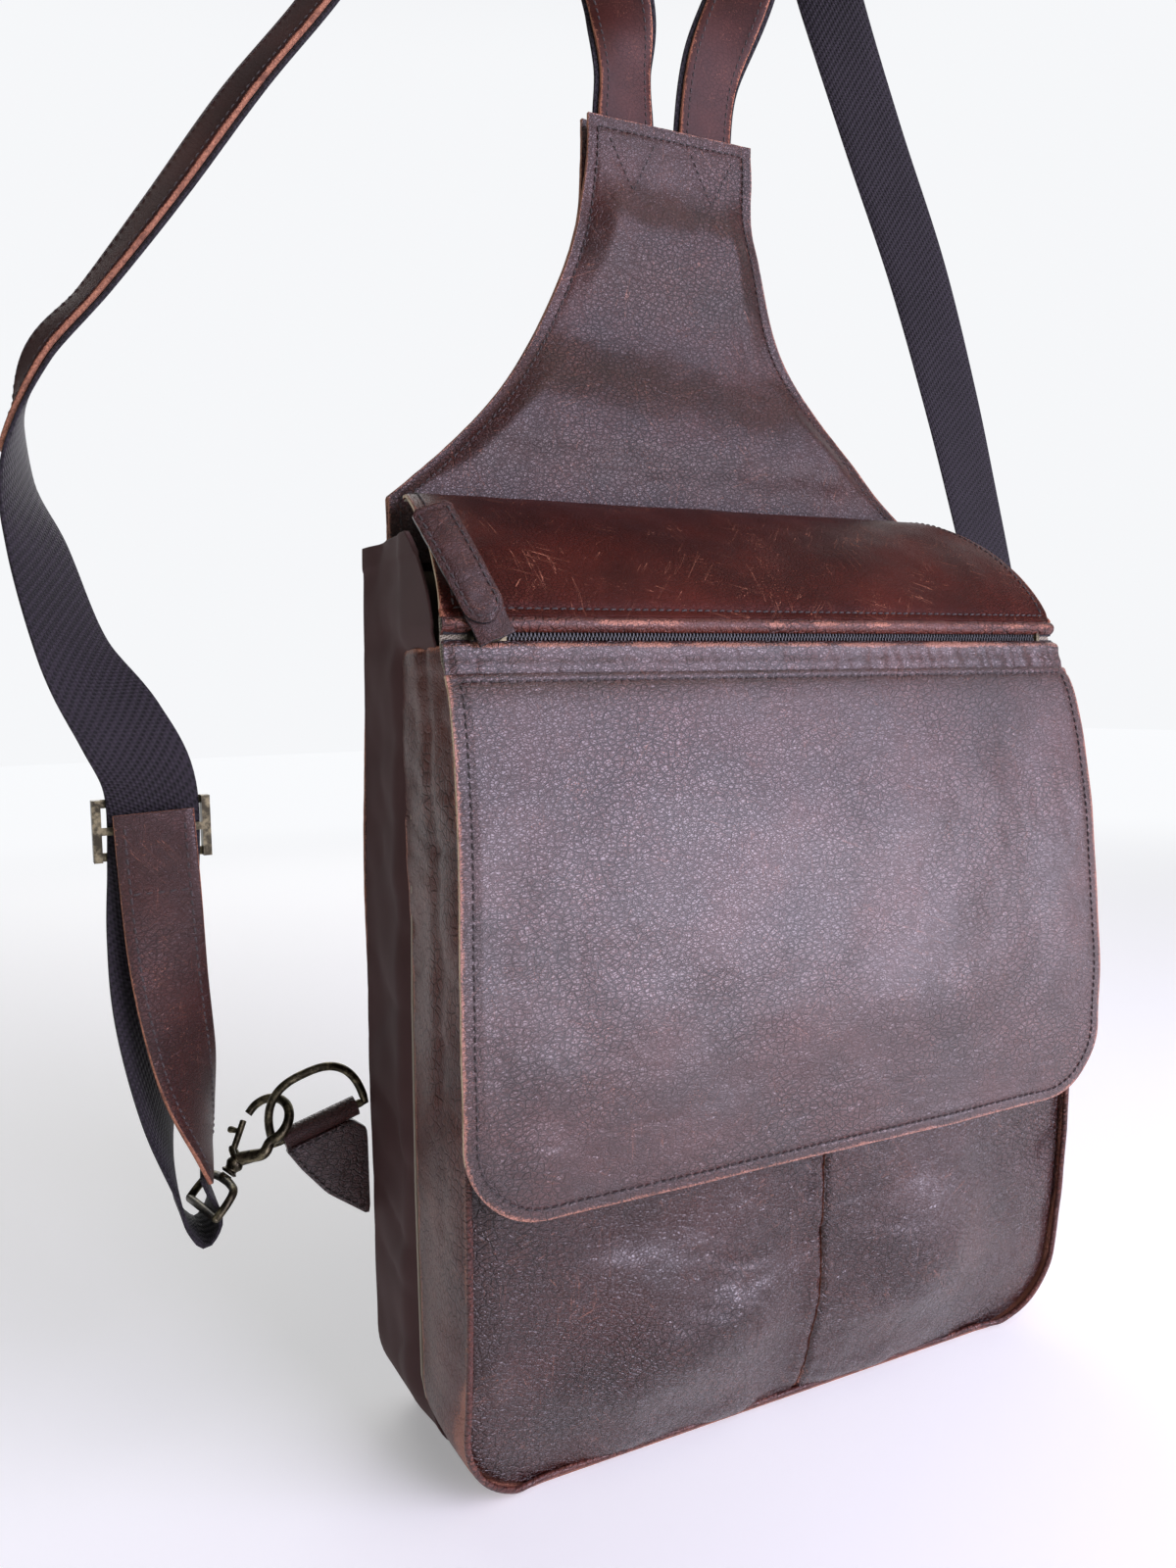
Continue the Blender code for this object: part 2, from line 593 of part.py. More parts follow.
# ---- straps and fittings -------------------------------------------------------------------


def on_right(point):
    """Mirror image of a place on the left strap end, moved in and back where the strap is high."""
    high = max(0.0, min(1.0, (point.z - 110 * MM) / (130 * MM)))
    return Vector((-point.x - (10 + 9 * high) * MM, point.y + (4 + 36 * high) * MM, point.z))


def frames(stations, steps):
    """Smooth middle line, with the side and the face direction at each place."""
    middle = smooth_curve([Vector(p) * MM for p, _ in stations], steps)
    faces = smooth_curve([Vector(n).normalized() for _, n in stations], steps)
    found = []
    for i, place in enumerate(middle):
        along = (middle[min(i + 1, steps)] - middle[max(i - 1, 0)]).normalized()
        face = (faces[i] - along * faces[i].dot(along)).normalized()
        found.append((place, along.cross(face), face))
    return found


def ribbon(name, line, width, offset, thickness, finish):
    """Flat strip along a line of frames, its lower side at an offset along the face direction."""
    half = width / 2
    outer = [[p + s * half * k + f * (offset + thickness) for k in (-1, 0, 1)] for p, s, f in line]
    inner = [[p + s * half * k + f * offset for k in (-1, 0, 1)] for p, s, f in line]
    return closed_sheet(name, outer, inner, finish)


def mirrored(stations):
    found = []
    for place, face in stations:
        moved = on_right(Vector(place) * MM) / MM
        found.append((tuple(moved), (-face[0], face[1], face[2])))
    return found


def adjuster(side, centre):
    """Three-bar slider: outer bars behind the webbing, centre bar in front of it."""
    half = Vector((19, 2.6, 10.5)) * MM
    frame = box("adjuster_" + side, centre - half, centre + half, BRASS)
    for name, low, high, operation in (
        ("window_", (-16.2, -9, -7.6), (16.2, 9, 7.6), "DIFFERENCE"),
        ("channel_", (-16.2, -4, -20), (16.2, 1.3, 20), "DIFFERENCE"),
        ("bar_", (-17, -2.6, -1.3), (17, -1.8, 1.3), "UNION"),
    ):
        mesh = box_mesh(name + side, centre + Vector(low) * MM, centre + Vector(high) * MM)
        combine(frame, helper(name + side, mesh), operation)
    set_origin(frame, centre)


def ring_frame(side):
    """Middle of the D-ring's bar, direction along it and direction of its height."""
    low, high = RING_BAR_LOW.copy(), RING_BAR_HIGH.copy()
    if side == "right":
        low.x, high.x = -low.x, -high.x
    along = (high - low).normalized()
    upright = Vector((-along.z, 0, along.x))
    if upright.z < 0:
        upright = -upright
    upright = upright * math.cos(RING_TILT) + Vector((0, -1, 0)) * math.sin(RING_TILT)
    return (low + high) / 2, along, upright


def d_ring(side):
    middle, along, upright = ring_frame(side)
    points = [middle + along * RING_HALF_BAR * k / 3 for k in range(-3, 4)]
    turns = 12
    for k in range(1, turns):
        angle = k / turns * math.pi
        sideways = RING_HALF_BAR * math.copysign(abs(math.cos(angle)) ** 0.75, math.cos(angle))
        points.append(middle + along * sideways + upright * RING_HEIGHT * math.sin(angle) ** 0.8)
    set_origin(tube("d_ring_" + side, points, RING_WIRE, BRASS, closed=True), middle)


def wing(side):
    """Leather wing with a fold round the ring's bar."""
    sign = -1 if side == "right" else 1
    middle, along, _ = ring_frame(side)
    y_low, y_high = 41.5 * MM, 45 * MM
    shape = bmesh.new()
    rims = []
    for y in (y_low, y_high):
        rims.append([shape.verts.new((sign * x * MM, y, z * MM)) for x, z in WING_OUTLINE])
    shape.faces.new(rims[0])
    shape.faces.new(list(reversed(rims[1])))
    count = len(WING_OUTLINE)
    for k in range(count):
        after = (k + 1) % count
        shape.faces.new((rims[0][k], rims[1][k], rims[1][after], rims[0][after]))
    bmesh.ops.recalc_face_normals(shape, faces=shape.faces)
    mesh = bpy.data.meshes.new("wing_" + side)
    shape.to_mesh(mesh)
    shape.free()
    item = add_object("wing_" + side, mesh, LEATHER, smooth=False)
    reach = along * 15.5 * MM
    fold = helper("fold_" + side, cylinder_mesh("fold_" + side, middle - reach, middle + reach, 4.2 * MM, 14))
    combine(item, fold, "UNION")
    reach = along * 24 * MM
    bore = helper("bore_" + side, cylinder_mesh("bore_" + side, middle - reach, middle + reach, 2.4 * MM, 14))
    combine(item, bore, "DIFFERENCE")


def hook_axes(side):
    """Swivel loop's bar, the point held on the ring, and the hook's long, opening and normal directions."""
    middle, along, upright = ring_frame(side)
    outward = -1 if side == "left" else 1
    reach = along if along.x * outward > 0 else -along
    held = middle + reach * 19 * MM + upright * 11.5 * MM
    bar = HOOK_BAR if side == "left" else on_right(HOOK_BAR)
    long_way = (held - bar).normalized()
    wire = upright * 0.86 - reach * 0.5
    normal = (wire - long_way * wire.dot(long_way)).normalized()
    return bar, held, long_way, long_way.cross(normal), normal


def snap_hook(side):
    """Swivel loop round the webbing, hook with its barrel, and the gate with its thumb stud."""
    bar, held, up, across, _ = hook_axes(side)
    length = (held - bar).length
    loop_way = Vector((0, 1, 0))
    loop_way = (loop_way - up * loop_way.dot(up)).normalized()
    half = 18 * MM
    corners = [(-1, 0), (-0.5, 0), (0, 0), (0.5, 0), (1, 0), (1, 6), (0.88, 10.6), (0.5, 12.1),
               (0, 12.4), (-0.5, 12.1), (-0.88, 10.6), (-1, 6)]
    loop = as_mesh(tube("hook_loop_" + side, [bar + loop_way * half * a + up * b * MM for a, b in corners],
                        1.6 * MM, BRASS, closed=True, sides=1))
    shank = cylinder_mesh("shank_" + side, bar + up * 11.8 * MM, bar + up * 14.4 * MM, 2 * MM, 12)
    combine(loop, helper("shank_" + side, shank), "UNION")

    bend = HOOK_MOUTH + HOOK_WIRE
    path = [(0, 14.8), (0, 15.8), (0, 19.4), (0.6, 21.4), (4.2, 24.6), (8, 28)]
    sizes = [3.2, 3.4, 3.4, 2.8, 2.5, 2.3]
    centre = length / MM
    turns = 9
    for k in range(turns + 1):
        angle = math.radians(-38 + 228 * k / turns)
        path.append((bend / MM * math.cos(angle), centre + bend / MM * math.sin(angle)))
        sizes.append(HOOK_WIRE / MM - 0.5 * k / turns)
    points = [bar + across * a * MM + up * b * MM for a, b in path]
    set_origin(tube("hook_body_" + side, points, [s * MM for s in sizes], BRASS), bar)
    tip_across, tip_up = path[-1]
    pivot = bar + (across * -4.6 + up * 23) * MM
    end = bar + (across * (tip_across + 0.2) + up * (tip_up - 3.2)) * MM
    gate = as_mesh(tube("hook_gate_" + side, [pivot, end], 1.3 * MM, BRASS, sides=1))
    root = pivot.lerp(end, 0.65)
    knob_end = root - (across * 5 + up * 1.5) * MM
    knob = helper("stud_" + side, cylinder_mesh("stud_" + side, root, knob_end, 1.2 * MM, 10))
    combine(gate, knob, "UNION")
    set_origin(gate, pivot)


def build_straps():
    for side, stations in (("left", LEFT_STRAP), ("right", RIGHT_STRAP)):
        loop = LEFT_LOOP if side == "left" else mirrored(LEFT_LOOP)
        end = LEFT_END if side == "left" else mirrored(LEFT_END)
        line = frames(stations + loop, STRAP_STEPS)
        half_webbing = WEBBING_THICKNESS / 2
        ribbon("strap_webbing_" + side, line, WEBBING_WIDTH, -half_webbing, WEBBING_THICKNESS, WEBBING)
        last = round(STRAP_LEATHER_SHARE[side] * STRAP_STEPS)
        ribbon("strap_leather_" + side, line[:last], LEATHER_WIDTH, half_webbing + 2 * GAP,
               LEATHER_THICKNESS, LEATHER)
        ribbon("strap_end_leather_" + side, frames(end, 20), LEATHER_WIDTH, 0, LEATHER_THICKNESS, LEATHER)
        adjuster(side, ADJUSTER if side == "left" else on_right(ADJUSTER))
        wing(side)
        d_ring(side)
        snap_hook(side)


clear_scene()
build_body()
flap_shape, zip_distance = build_flap()
build_slider(flap_shape, zip_distance)
build_straps()
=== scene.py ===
"""Looks of the leather backpack: creased leather shells, cloth, webbing, zip, stitches and brass fittings.

Metres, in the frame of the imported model: the bag stands on z = 0 and its front faces -Y.
"""

import math

import bmesh
import bpy
import numpy as np
from mathutils import Matrix, Vector


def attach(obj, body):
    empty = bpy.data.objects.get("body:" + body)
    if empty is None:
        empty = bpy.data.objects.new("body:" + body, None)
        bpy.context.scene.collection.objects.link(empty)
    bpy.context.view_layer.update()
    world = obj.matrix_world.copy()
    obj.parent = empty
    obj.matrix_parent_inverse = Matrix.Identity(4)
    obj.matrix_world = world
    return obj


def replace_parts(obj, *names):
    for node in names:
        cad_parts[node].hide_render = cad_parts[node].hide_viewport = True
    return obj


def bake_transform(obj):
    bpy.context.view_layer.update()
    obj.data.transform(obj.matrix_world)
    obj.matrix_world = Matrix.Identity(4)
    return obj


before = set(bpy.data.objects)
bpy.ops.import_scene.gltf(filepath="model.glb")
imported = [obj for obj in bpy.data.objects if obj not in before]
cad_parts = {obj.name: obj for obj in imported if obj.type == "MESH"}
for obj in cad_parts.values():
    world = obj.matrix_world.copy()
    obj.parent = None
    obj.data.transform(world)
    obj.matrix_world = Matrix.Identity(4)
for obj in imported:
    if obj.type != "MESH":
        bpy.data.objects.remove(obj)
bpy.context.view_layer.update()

MM = 0.001
SIDES = (("left", -1), ("right", 1))

# Body
BODY_HALF_WIDTH = 147 * MM
REAR_TOP = 353 * MM
REAR_TOP_HALF_WIDTH = 141.5 * MM
FRONT_TOP = 311 * MM
FRONT_TOP_HALF_WIDTH = 139.5 * MM
FRONT_HALF_WIDTH = 143.5 * MM
CORNER_RADIUS = 34 * MM
BACK_Y = 45 * MM
SEAM_Y = -4 * MM
PANEL_SEAM_X = 6 * MM

# Yoke
YOKE_BASE = 374 * MM
YOKE_TOP = 537 * MM
YOKE_STEP = 355 * MM
YOKE_BASE_HALF_WIDTH = 132 * MM
YOKE_TOP_HALF_WIDTH = 41 * MM
YOKE_Y = 35.8 * MM
YOKE_HOLLOW = 2.35

# Flap
FLAP_REAR_HALF_WIDTH = 128 * MM
FLAP_ZIP_HALF_WIDTH = 143 * MM
FLAP_HALF_WIDTH = 148 * MM
FLAP_BOTTOM = 115 * MM
FLAP_CORNER = 31 * MM
FLAP_FOLD_Z = 361 * MM
ZIP_Z = 314 * MM
ZIP_HALF_LENGTH = 131 * MM
FLAP_PROFILE = [
    (33.5, 374.0), (18, 371.5), (0, 364), (-24, 349), (-39, 333), (-46.5, 318),
    (-49.5, 306), (-57.5, 290), (-63, 265), (-66, 234), (-69, 177), (-68.5, 145), (-67.5, 115),
]

# Straps
WEBBING_WIDTH = 30 * MM
WEBBING_THICKNESS = 1.4 * MM
STRAP_WIDTH = 26 * MM
STRAP_LEATHER = 2 * MM
LEFT_STRAP = [
    ((-21, 41.9, 512), (0, -1, 0)), ((-21, 41.9, 538), (0, -1, 0)), ((-22, 40, 560), (0.1, -1, 0)),
    ((-25, 38, 588), (-0.6, -0.8, 0.1)), ((-44, 35, 622), (-0.8, -0.4, 0.6)),
    ((-84, 30, 630), (-0.2, -0.3, 1)), ((-126, 25, 594), (-0.6, -0.35, 0.7)),
    ((-158, 20, 546), (-0.75, -0.4, 0.5)), ((-187, 16, 507), (-0.75, -0.4, 0.5)),
    ((-215, 12, 465), (-0.75, -0.35, 0.5)), ((-239, 12, 431), (-0.75, -0.3, 0.6)),
    ((-258, 14, 407), (-0.9, -0.25, 0.3)), ((-266, 14, 372), (-0.95, 0.3, 0)),
    ((-261, 12, 345), (-0.75, 0.65, -0.1)), ((-252, 8, 311), (-0.6, 0.8, -0.1)),
    ((-239, 5, 286), (-0.2, 0.95, 0)), ((-231, 4, 266), (0, 1, 0)), ((-231, 4, 238), (0, 1, 0)),
]
RIGHT_STRAP = [
    ((19, 41.9, 512), (0, -1, 0)), ((19, 41.9, 538), (0, -1, 0)), ((21, 37, 566), (0, -1, 0.1)),
    ((33, 31, 598), (-0.3, -0.9, 0.3)), ((50, 33, 640), (-0.6, -0.6, 0.5)),
    ((73, 44, 664), (0.1, 0, 1)), ((92, 55, 650), (0.6, 0.5, 0.5)), ((108, 60, 622), (0.5, 0.85, 0.2)),
    ((134, 62, 568), (0.4, 0.9, 0.2)), ((162, 62, 508), (0.4, 0.9, 0.2)),
    ((184, 61, 446), (0.3, 0.95, 0.1)), ((199, 60, 396), (0.2, 1, 0)),
    ((211, 57, 345), (0.1, 1, 0)), ((214, 50, 300), (0.1, 1, 0)), ((212, 44, 266), (0, 1, 0)),
    ((212, 44, 238), (0, 1, 0)),
]
LEFT_LOOP = [
    ((-233, 8, 214), (-0.3, 0.95, 0)), ((-234, 14, 186), (-0.6, 0.8, 0)),
    ((-231, 24, 150), (-0.85, 0.5, 0)), ((-226.5, 32, 118), (-1, 0.1, -0.1)),
    ((-224, 34, 101), (-0.9, 0, -0.4)), ((-218, 34, 93), (-0.1, 0, -1)),
    ((-212.6, 34, 99), (0.9, 0, -0.3)), ((-212.6, 34, 106), (1, 0, 0)),
    ((-215.2, 33, 114), (1, 0, 0)), ((-216.5, 30, 124), (0.97, -0.15, 0)),
]
LEFT_END = [
    ((-231, -1.6, 257), (0, -1, 0)), ((-230, -1.5, 236), (-0.1, -1, 0)),
    ((-228, 2, 200), (0.2, -0.98, 0)), ((-223, 12, 165), (0.5, -0.85, 0)),
    ((-217, 24, 136), (0.85, -0.4, 0)), ((-214.6, 29.5, 122), (0.97, -0.15, 0)),
]
ROUTE_STEPS = 400
STRAP_LEATHER_SHARE = {"left": 0.445, "right": 0.455}
TAIL_TRIM = {"left": 0.0, "right": 8 * MM}

# Fittings
HOOK_BAR = Vector((-216.5, 34, 102)) * MM
RING_BAR_LOW = Vector((-187, 43.4, 118)) * MM
RING_BAR_HIGH = Vector((-150, 43.4, 129)) * MM
RING_WIRE = 1.7 * MM
RING_HALF_BAR = 19.5 * MM
RING_HEIGHT = 24 * MM
RING_TILT = math.radians(12)
HOOK_WIRE = 2.1 * MM
HOOK_MOUTH = 7.3 * MM
WING_OUTLINE = [(-183, 115), (-177, 106), (-167, 94), (-149.5, 81), (-149.5, 118), (-156, 123)]

# Sewing
STITCH_PITCH = 3.3 * MM
STITCH_LENGTH = 2.5 * MM
THREAD_RADIUS = 0.36 * MM
STITCH_INSET = 4.6 * MM

# Camera: place, turn from +Y towards +X, tilt down, roll; then lens and sensor
CAMERA_PLACE = (-0.2773, -0.4212, 0.2937)
CAMERA_TURN = math.radians(26.65)
CAMERA_TILT = math.radians(4.4)
CAMERA_ROLL = math.radians(1.24)
CAMERA_LENS = 27.05
CAMERA_SENSOR = 36.0
FLOOR_HALF = 6.0
FLOOR_DROP = 0.4 * MM


# ---- camera, floor and light ---------------------------------------------------------------


def add_camera():
    """Camera in front of the bag and to its left, looking a little down."""
    turn, tilt, roll = CAMERA_TURN, CAMERA_TILT, CAMERA_ROLL
    forward = Vector((math.sin(turn) * math.cos(tilt), math.cos(turn) * math.cos(tilt), -math.sin(tilt)))
    right = Vector((math.cos(turn), -math.sin(turn), 0))
    down = forward.cross(right)
    across = right * math.cos(roll) + down * math.sin(roll)
    below = down * math.cos(roll) - right * math.sin(roll)
    axes = Matrix((across, -below, -forward)).transposed()
    data = bpy.data.cameras.new("camera")
    data.sensor_fit = "VERTICAL"
    data.sensor_height = CAMERA_SENSOR
    data.lens = CAMERA_LENS
    data.clip_start = 0.01
    camera = bpy.data.objects.new("camera", data)
    camera.matrix_world = Matrix.Translation(CAMERA_PLACE) @ axes.to_4x4()
    bpy.context.collection.objects.link(camera)
    bpy.context.scene.camera = camera


def add_floor():
    """Pale paper that glows more and reflects less far from the bag, so that its edge isn't seen."""
    half = FLOOR_HALF
    mesh = bpy.data.meshes.new("floor")
    mesh.from_pydata([(-half, -half, 0), (half, -half, 0), (half, half, 0), (-half, half, 0)], [],
                     [(0, 1, 2, 3)])
    floor = bpy.data.objects.new("floor", mesh)
    floor.location.z = -FLOOR_DROP
    bpy.context.collection.objects.link(floor)
    nodes = Nodes("floor_paper")
    far = nodes.add("VectorMath", {"operation": "LENGTH"}, Vector=nodes.add("TexCoord").outputs["Object"])
    fade = nodes.step(far.outputs["Value"], 0.5, 2.4)
    glow = nodes.math("MULTIPLY_ADD", fade, 0.72, 0.28)
    mat = nodes.finish(Base_Color=nodes.mix(fade, (0.84, 0.84, 0.85, 1), (0.04, 0.04, 0.04, 1)),
                       Roughness=0.9,
                       Emission_Color=(0.92, 0.93, 0.95, 1), Emission_Strength=glow, Specular_IOR_Level=0.1)
    mesh.materials.append(mat)


def add_light(name, place, aim, size, power, color):
    """Rectangular lamp at a place, facing its aim."""
    data = bpy.data.lights.new(name, "AREA")
    data.shape = "RECTANGLE"
    data.size, data.size_y = size
    data.energy = power
    data.color = color
    lamp = bpy.data.objects.new(name, data)
    lamp.location = place
    lamp.rotation_euler = (Vector(aim) - Vector(place)).to_track_quat("-Z", "Y").to_euler()
    bpy.context.collection.objects.link(lamp)


def add_world():
    """Pale studio walls behind the bag, dimmer walls in front of it."""
    world = bpy.data.worlds.new("studio")
    world.use_nodes = True
    tree = world.node_tree
    background = tree.nodes["Background"]
    background.inputs["Color"].default_value = (0.97, 0.98, 1.0, 1)
    split = tree.nodes.new("ShaderNodeSeparateXYZ")
    tree.links.new(tree.nodes.new("ShaderNodeTexCoord").outputs["Generated"], split.inputs[0])
    strength = None
    for axis, start, end, low, high in (("Y", -0.25, 0.45, 0.28, 0.95), ("Z", 0.45, 0.85, 1.0, 0.3),
                                        ("X", -0.32, 0.0, 0.08, 1.0)):
        shade = tree.nodes.new("ShaderNodeMapRange")
        shade.interpolation_type = "SMOOTHSTEP"
        for socket, value in zip(("From Min", "From Max", "To Min", "To Max"), (start, end, low, high)):
            shade.inputs[socket].default_value = value
        tree.links.new(split.outputs[axis], shade.inputs["Value"])
        if strength is None:
            strength = shade.outputs["Result"]
            continue
        product = tree.nodes.new("ShaderNodeMath")
        product.operation = "MULTIPLY"
        tree.links.new(strength, product.inputs[0])
        tree.links.new(shade.outputs["Result"], product.inputs[1])
        strength = product.outputs[0]
    tree.links.new(strength, background.inputs["Strength"])
    bpy.context.scene.world = world
    bpy.context.scene.view_settings.view_transform = "Standard"


def add_lights():
    middle = (0, 0, 0.3)
    add_light("overhead", (0.5, -0.7, 1.9), middle, (1.6, 1.0), 6, (1.0, 0.93, 0.88))
    add_light("window", (0.62, -1.25, 0.71), middle, (1.2, 1.36), 32, (0.81, 0.76, 1.0))
    add_light("low_window", (0.36, -0.70, 0.125), (0, -0.06, 0.07), (0.55, 0.23), 3.0, (0.86, 0.80, 1.0))
    add_light("left_fill", (-1.6, -0.5, 0.7), middle, (1.2, 1.2), 4.5, (1.0, 0.97, 0.94))
    add_light("rear_fill", (0.3, 1.7, 1.1), middle, (1.6, 1.2), 12, (1.0, 0.98, 0.96))


# ---- materials -----------------------------------------------------------------------------


def srgb(red, green, blue):
    """Linear colour of an 8-bit screen colour."""
    shares = [c / 255 for c in (red, green, blue)]
    linear = [c / 12.92 if c <= 0.04045 else ((c + 0.055) / 1.055) ** 2.4 for c in shares]
    return (*linear, 1)


class Nodes:
    """Node tree of a new material, with short ways to add and join its nodes."""

    def __init__(self, name):
        self.material = bpy.data.materials.new(name)
        self.material.use_nodes = True
        self.tree = self.material.node_tree
        self.shader = self.tree.nodes["Principled BSDF"]

    def put(self, socket, value):
        if isinstance(value, bpy.types.NodeSocket):
            self.tree.links.new(value, socket)
        else:
            socket.default_value = value

    def add(self, kind, settings=None, **values):
        node = self.tree.nodes.new("ShaderNode" + kind)
        for key, value in (settings or {}).items():
            setattr(node, key, value)
        for key, value in values.items():
            self.put(node.inputs[key.replace("_", " ")], value)
        return node

    def math(self, operation, first, second=0.0, third=0.0):
        node = self.add("Math", {"operation": operation})
        for socket, value in zip(node.inputs, (first, second, third)):
            self.put(socket, value)
        return node.outputs[0]

    def vector(self, operation, first, second):
        node = self.add("VectorMath", {"operation": operation})
        self.put(node.inputs[0], first)
        self.put(node.inputs[1], second)
        return node.outputs[0]

    def mix(self, share, first, second):
        node = self.add("Mix", {"data_type": "RGBA"})
        for socket, value in zip((node.inputs[0], node.inputs[6], node.inputs[7]), (share, first, second)):
            self.put(socket, value)
        return node.outputs[2]

    def step(self, value, low, high):
        """0 below low and 1 above high, smooth between them."""
        node = self.add("MapRange", {"interpolation_type": "SMOOTHSTEP"}, From_Min=low, From_Max=high)
        self.put(node.inputs["Value"], value)
        return node.outputs["Result"]

    def noise(self, where, per_mm, detail=3.0, roughness=0.5):
        node = self.add("TexNoise", Vector=where, Scale=per_mm, Detail=detail, Roughness=roughness)
        return node.outputs["Fac"]

    def noise_vector(self, where, per_mm, reach):
        """Offset of up to about reach, for bending a pattern out of its straight lines."""
        node = self.add("TexNoise", Vector=where, Scale=per_mm, Detail=2.0)
        centred = self.vector("SUBTRACT", node.outputs["Color"], (0.5, 0.5, 0.5))
        return self.vector("MULTIPLY", centred, (2 * reach, 2 * reach, 0))

    def surface_mm(self):
        """Place on the sheet in millimetres."""
        uv = self.add("TexCoord").outputs["UV"]
        return self.vector("MULTIPLY", uv, (1000, 1000, 0))

    def body_mm(self):
        """Place in the piece in millimetres."""
        place = self.add("TexCoord").outputs["Object"]
        return self.vector("MULTIPLY", place, (1000, 1000, 1000))

    def bump(self, height, distance, strength=1.0, under=None):
        node = self.add("Bump", Height=height, Distance=distance, Strength=strength)
        if under is not None:
            self.put(node.inputs["Normal"], under)
        return node.outputs["Normal"]

    def finish(self, **values):
        for key, value in values.items():
            self.put(self.shader.inputs[key.replace("_", " ")], value)
        return self.material


def cells(nodes, place, per_mm, feature):
    """Cell texture over the sheet."""
    texture = nodes.add("TexVoronoi", {"feature": feature, "voronoi_dimensions": "2D"}, Vector=place,
                        Scale=per_mm)
    return texture.outputs["Distance"]


def scratch_lines(nodes, place, angle, seed):
    """Thin broken lines along one direction."""
    turned = nodes.add("Mapping", {"vector_type": "TEXTURE"}, Vector=place)
    turned.inputs["Rotation"].default_value = (0, 0, angle)
    turned.inputs["Location"].default_value = (seed, seed * 0.7, 0)
    turned.inputs["Scale"].default_value = (26, 1.6, 1)
    lines = nodes.noise(turned.outputs[0], 1.0, 1.5, 0.4)
    thin = nodes.math("SUBTRACT", 1.0,
                      nodes.step(nodes.math("ABSOLUTE", nodes.math("SUBTRACT", lines, 0.65)), 0, 0.011))
    where = nodes.step(nodes.noise(nodes.vector("ADD", place, (seed * 13, 0, 0)), 1 / 30, 2.0), 0.5, 0.63)
    return nodes.math("MULTIPLY", thin, where)


def leather(name, dark, light, worn, grain, roughness, scuffs, scratches, relief, gloss):
    """Pebbled, creased leather with painted shade in its grain's valleys, worn to a paler colour along its
    edges.
    """
    nodes = Nodes(name)
    place = nodes.surface_mm()
    bent = nodes.vector("ADD", place, nodes.noise_vector(place, 1 / 5, 1.1))
    stretch = nodes.add("Mapping", Vector=bent)
    stretch.inputs["Rotation"].default_value = (0, 0, math.radians(28))
    stretch.inputs["Scale"].default_value = (0.72, 1.15, 1)
    pebbles = stretch.outputs[0]
    zone = nodes.step(nodes.noise(place, 1 / 62, 2.0), 0.34, 0.62)
    coarse = nodes.step(cells(nodes, pebbles, grain / 2.3, "DISTANCE_TO_EDGE"), 0.0, 0.16)
    fine = nodes.step(cells(nodes, pebbles, grain / 0.95, "DISTANCE_TO_EDGE"), 0.0, 0.2)
    wrinkle = nodes.add("TexNoise", {"noise_type": "RIDGED_MULTIFRACTAL"}, Vector=pebbles, Scale=1 / 11,
                        Detail=3.0, Roughness=0.5, Offset=0.9, Gain=1.4)
    creased = nodes.step(wrinkle.outputs["Fac"], 0.9, 1.6)
    height = nodes.math("MULTIPLY", coarse, nodes.math("MULTIPLY_ADD", zone, 0.75, 0.25))
    height = nodes.math("MULTIPLY_ADD", fine, 0.35, height)
    height = nodes.math("MULTIPLY_ADD", creased, -0.55, height)
    tone = nodes.step(nodes.noise(place, 1 / 38, 4.0, 0.6), 0.3, 0.72)
    color = nodes.mix(tone, dark, light)
    # Painted shade: the valleys between the pebbles are darkened towards a deeper brown.
    valley = nodes.math("MULTIPLY", nodes.math("SUBTRACT", 1.0, coarse),
                        nodes.math("MULTIPLY_ADD", zone, 0.5, 0.12))
    color = nodes.mix(valley, color, tuple(c * 0.42 for c in dark[:3]) + (1,))
    specks = nodes.step(nodes.noise(place, 1 / 0.75, 3.0, 0.6), 0.60, 0.68)
    patches = nodes.step(nodes.noise(nodes.vector("ADD", place, (71, 13, 0)), 1 / 21, 4.0, 0.7), 0.5, 0.66)
    scuffed = nodes.math("MULTIPLY", nodes.math("MULTIPLY", specks, patches), scuffs)
    lines = nodes.math("MAXIMUM", scratch_lines(nodes, place, 0.35, 5.0),
                       scratch_lines(nodes, place, -0.9, 19.0))
    lines = nodes.math("MAXIMUM", lines, scratch_lines(nodes, place, 1.5, 41.0))
    scuffed = nodes.math("MAXIMUM", scuffed, nodes.math("MULTIPLY", lines, scratches))
    edge = nodes.add("Attribute", {"attribute_name": "wear"}).outputs["Fac"]
    flecks = nodes.math("MULTIPLY_ADD", nodes.noise(place, 1 / 0.9, 5.0, 0.75), 1.6, -1.38)
    flecks = nodes.math("MULTIPLY_ADD", nodes.noise(place, 1 / 11, 2.0), 0.7,
                        nodes.math("SUBTRACT", flecks, 0.3))
    rubbed = nodes.step(nodes.math("ADD", edge, flecks), 0.0, 0.26)
    bare = nodes.math("MAXIMUM", scuffed, nodes.math("MULTIPLY", rubbed, 0.8))
    color = nodes.mix(bare, color, worn)
    rough = nodes.math("MULTIPLY_ADD", nodes.math("SUBTRACT", 1.0, coarse), 0.12, roughness)
    rough = nodes.math("MULTIPLY_ADD", bare, 0.25, rough)
    normal = nodes.bump(height, 0.0007 * relief, 1.0)
    pores = nodes.noise(place, 1 / 0.35, 2.0)
    normal = nodes.bump(pores, 0.00008 * relief, 0.6, normal)
    return nodes.finish(Base_Color=color, Roughness=rough, Normal=normal, Coat_Weight=0.55 * gloss,
                        Coat_Roughness=0.36, Specular_IOR_Level=0.9 * gloss)


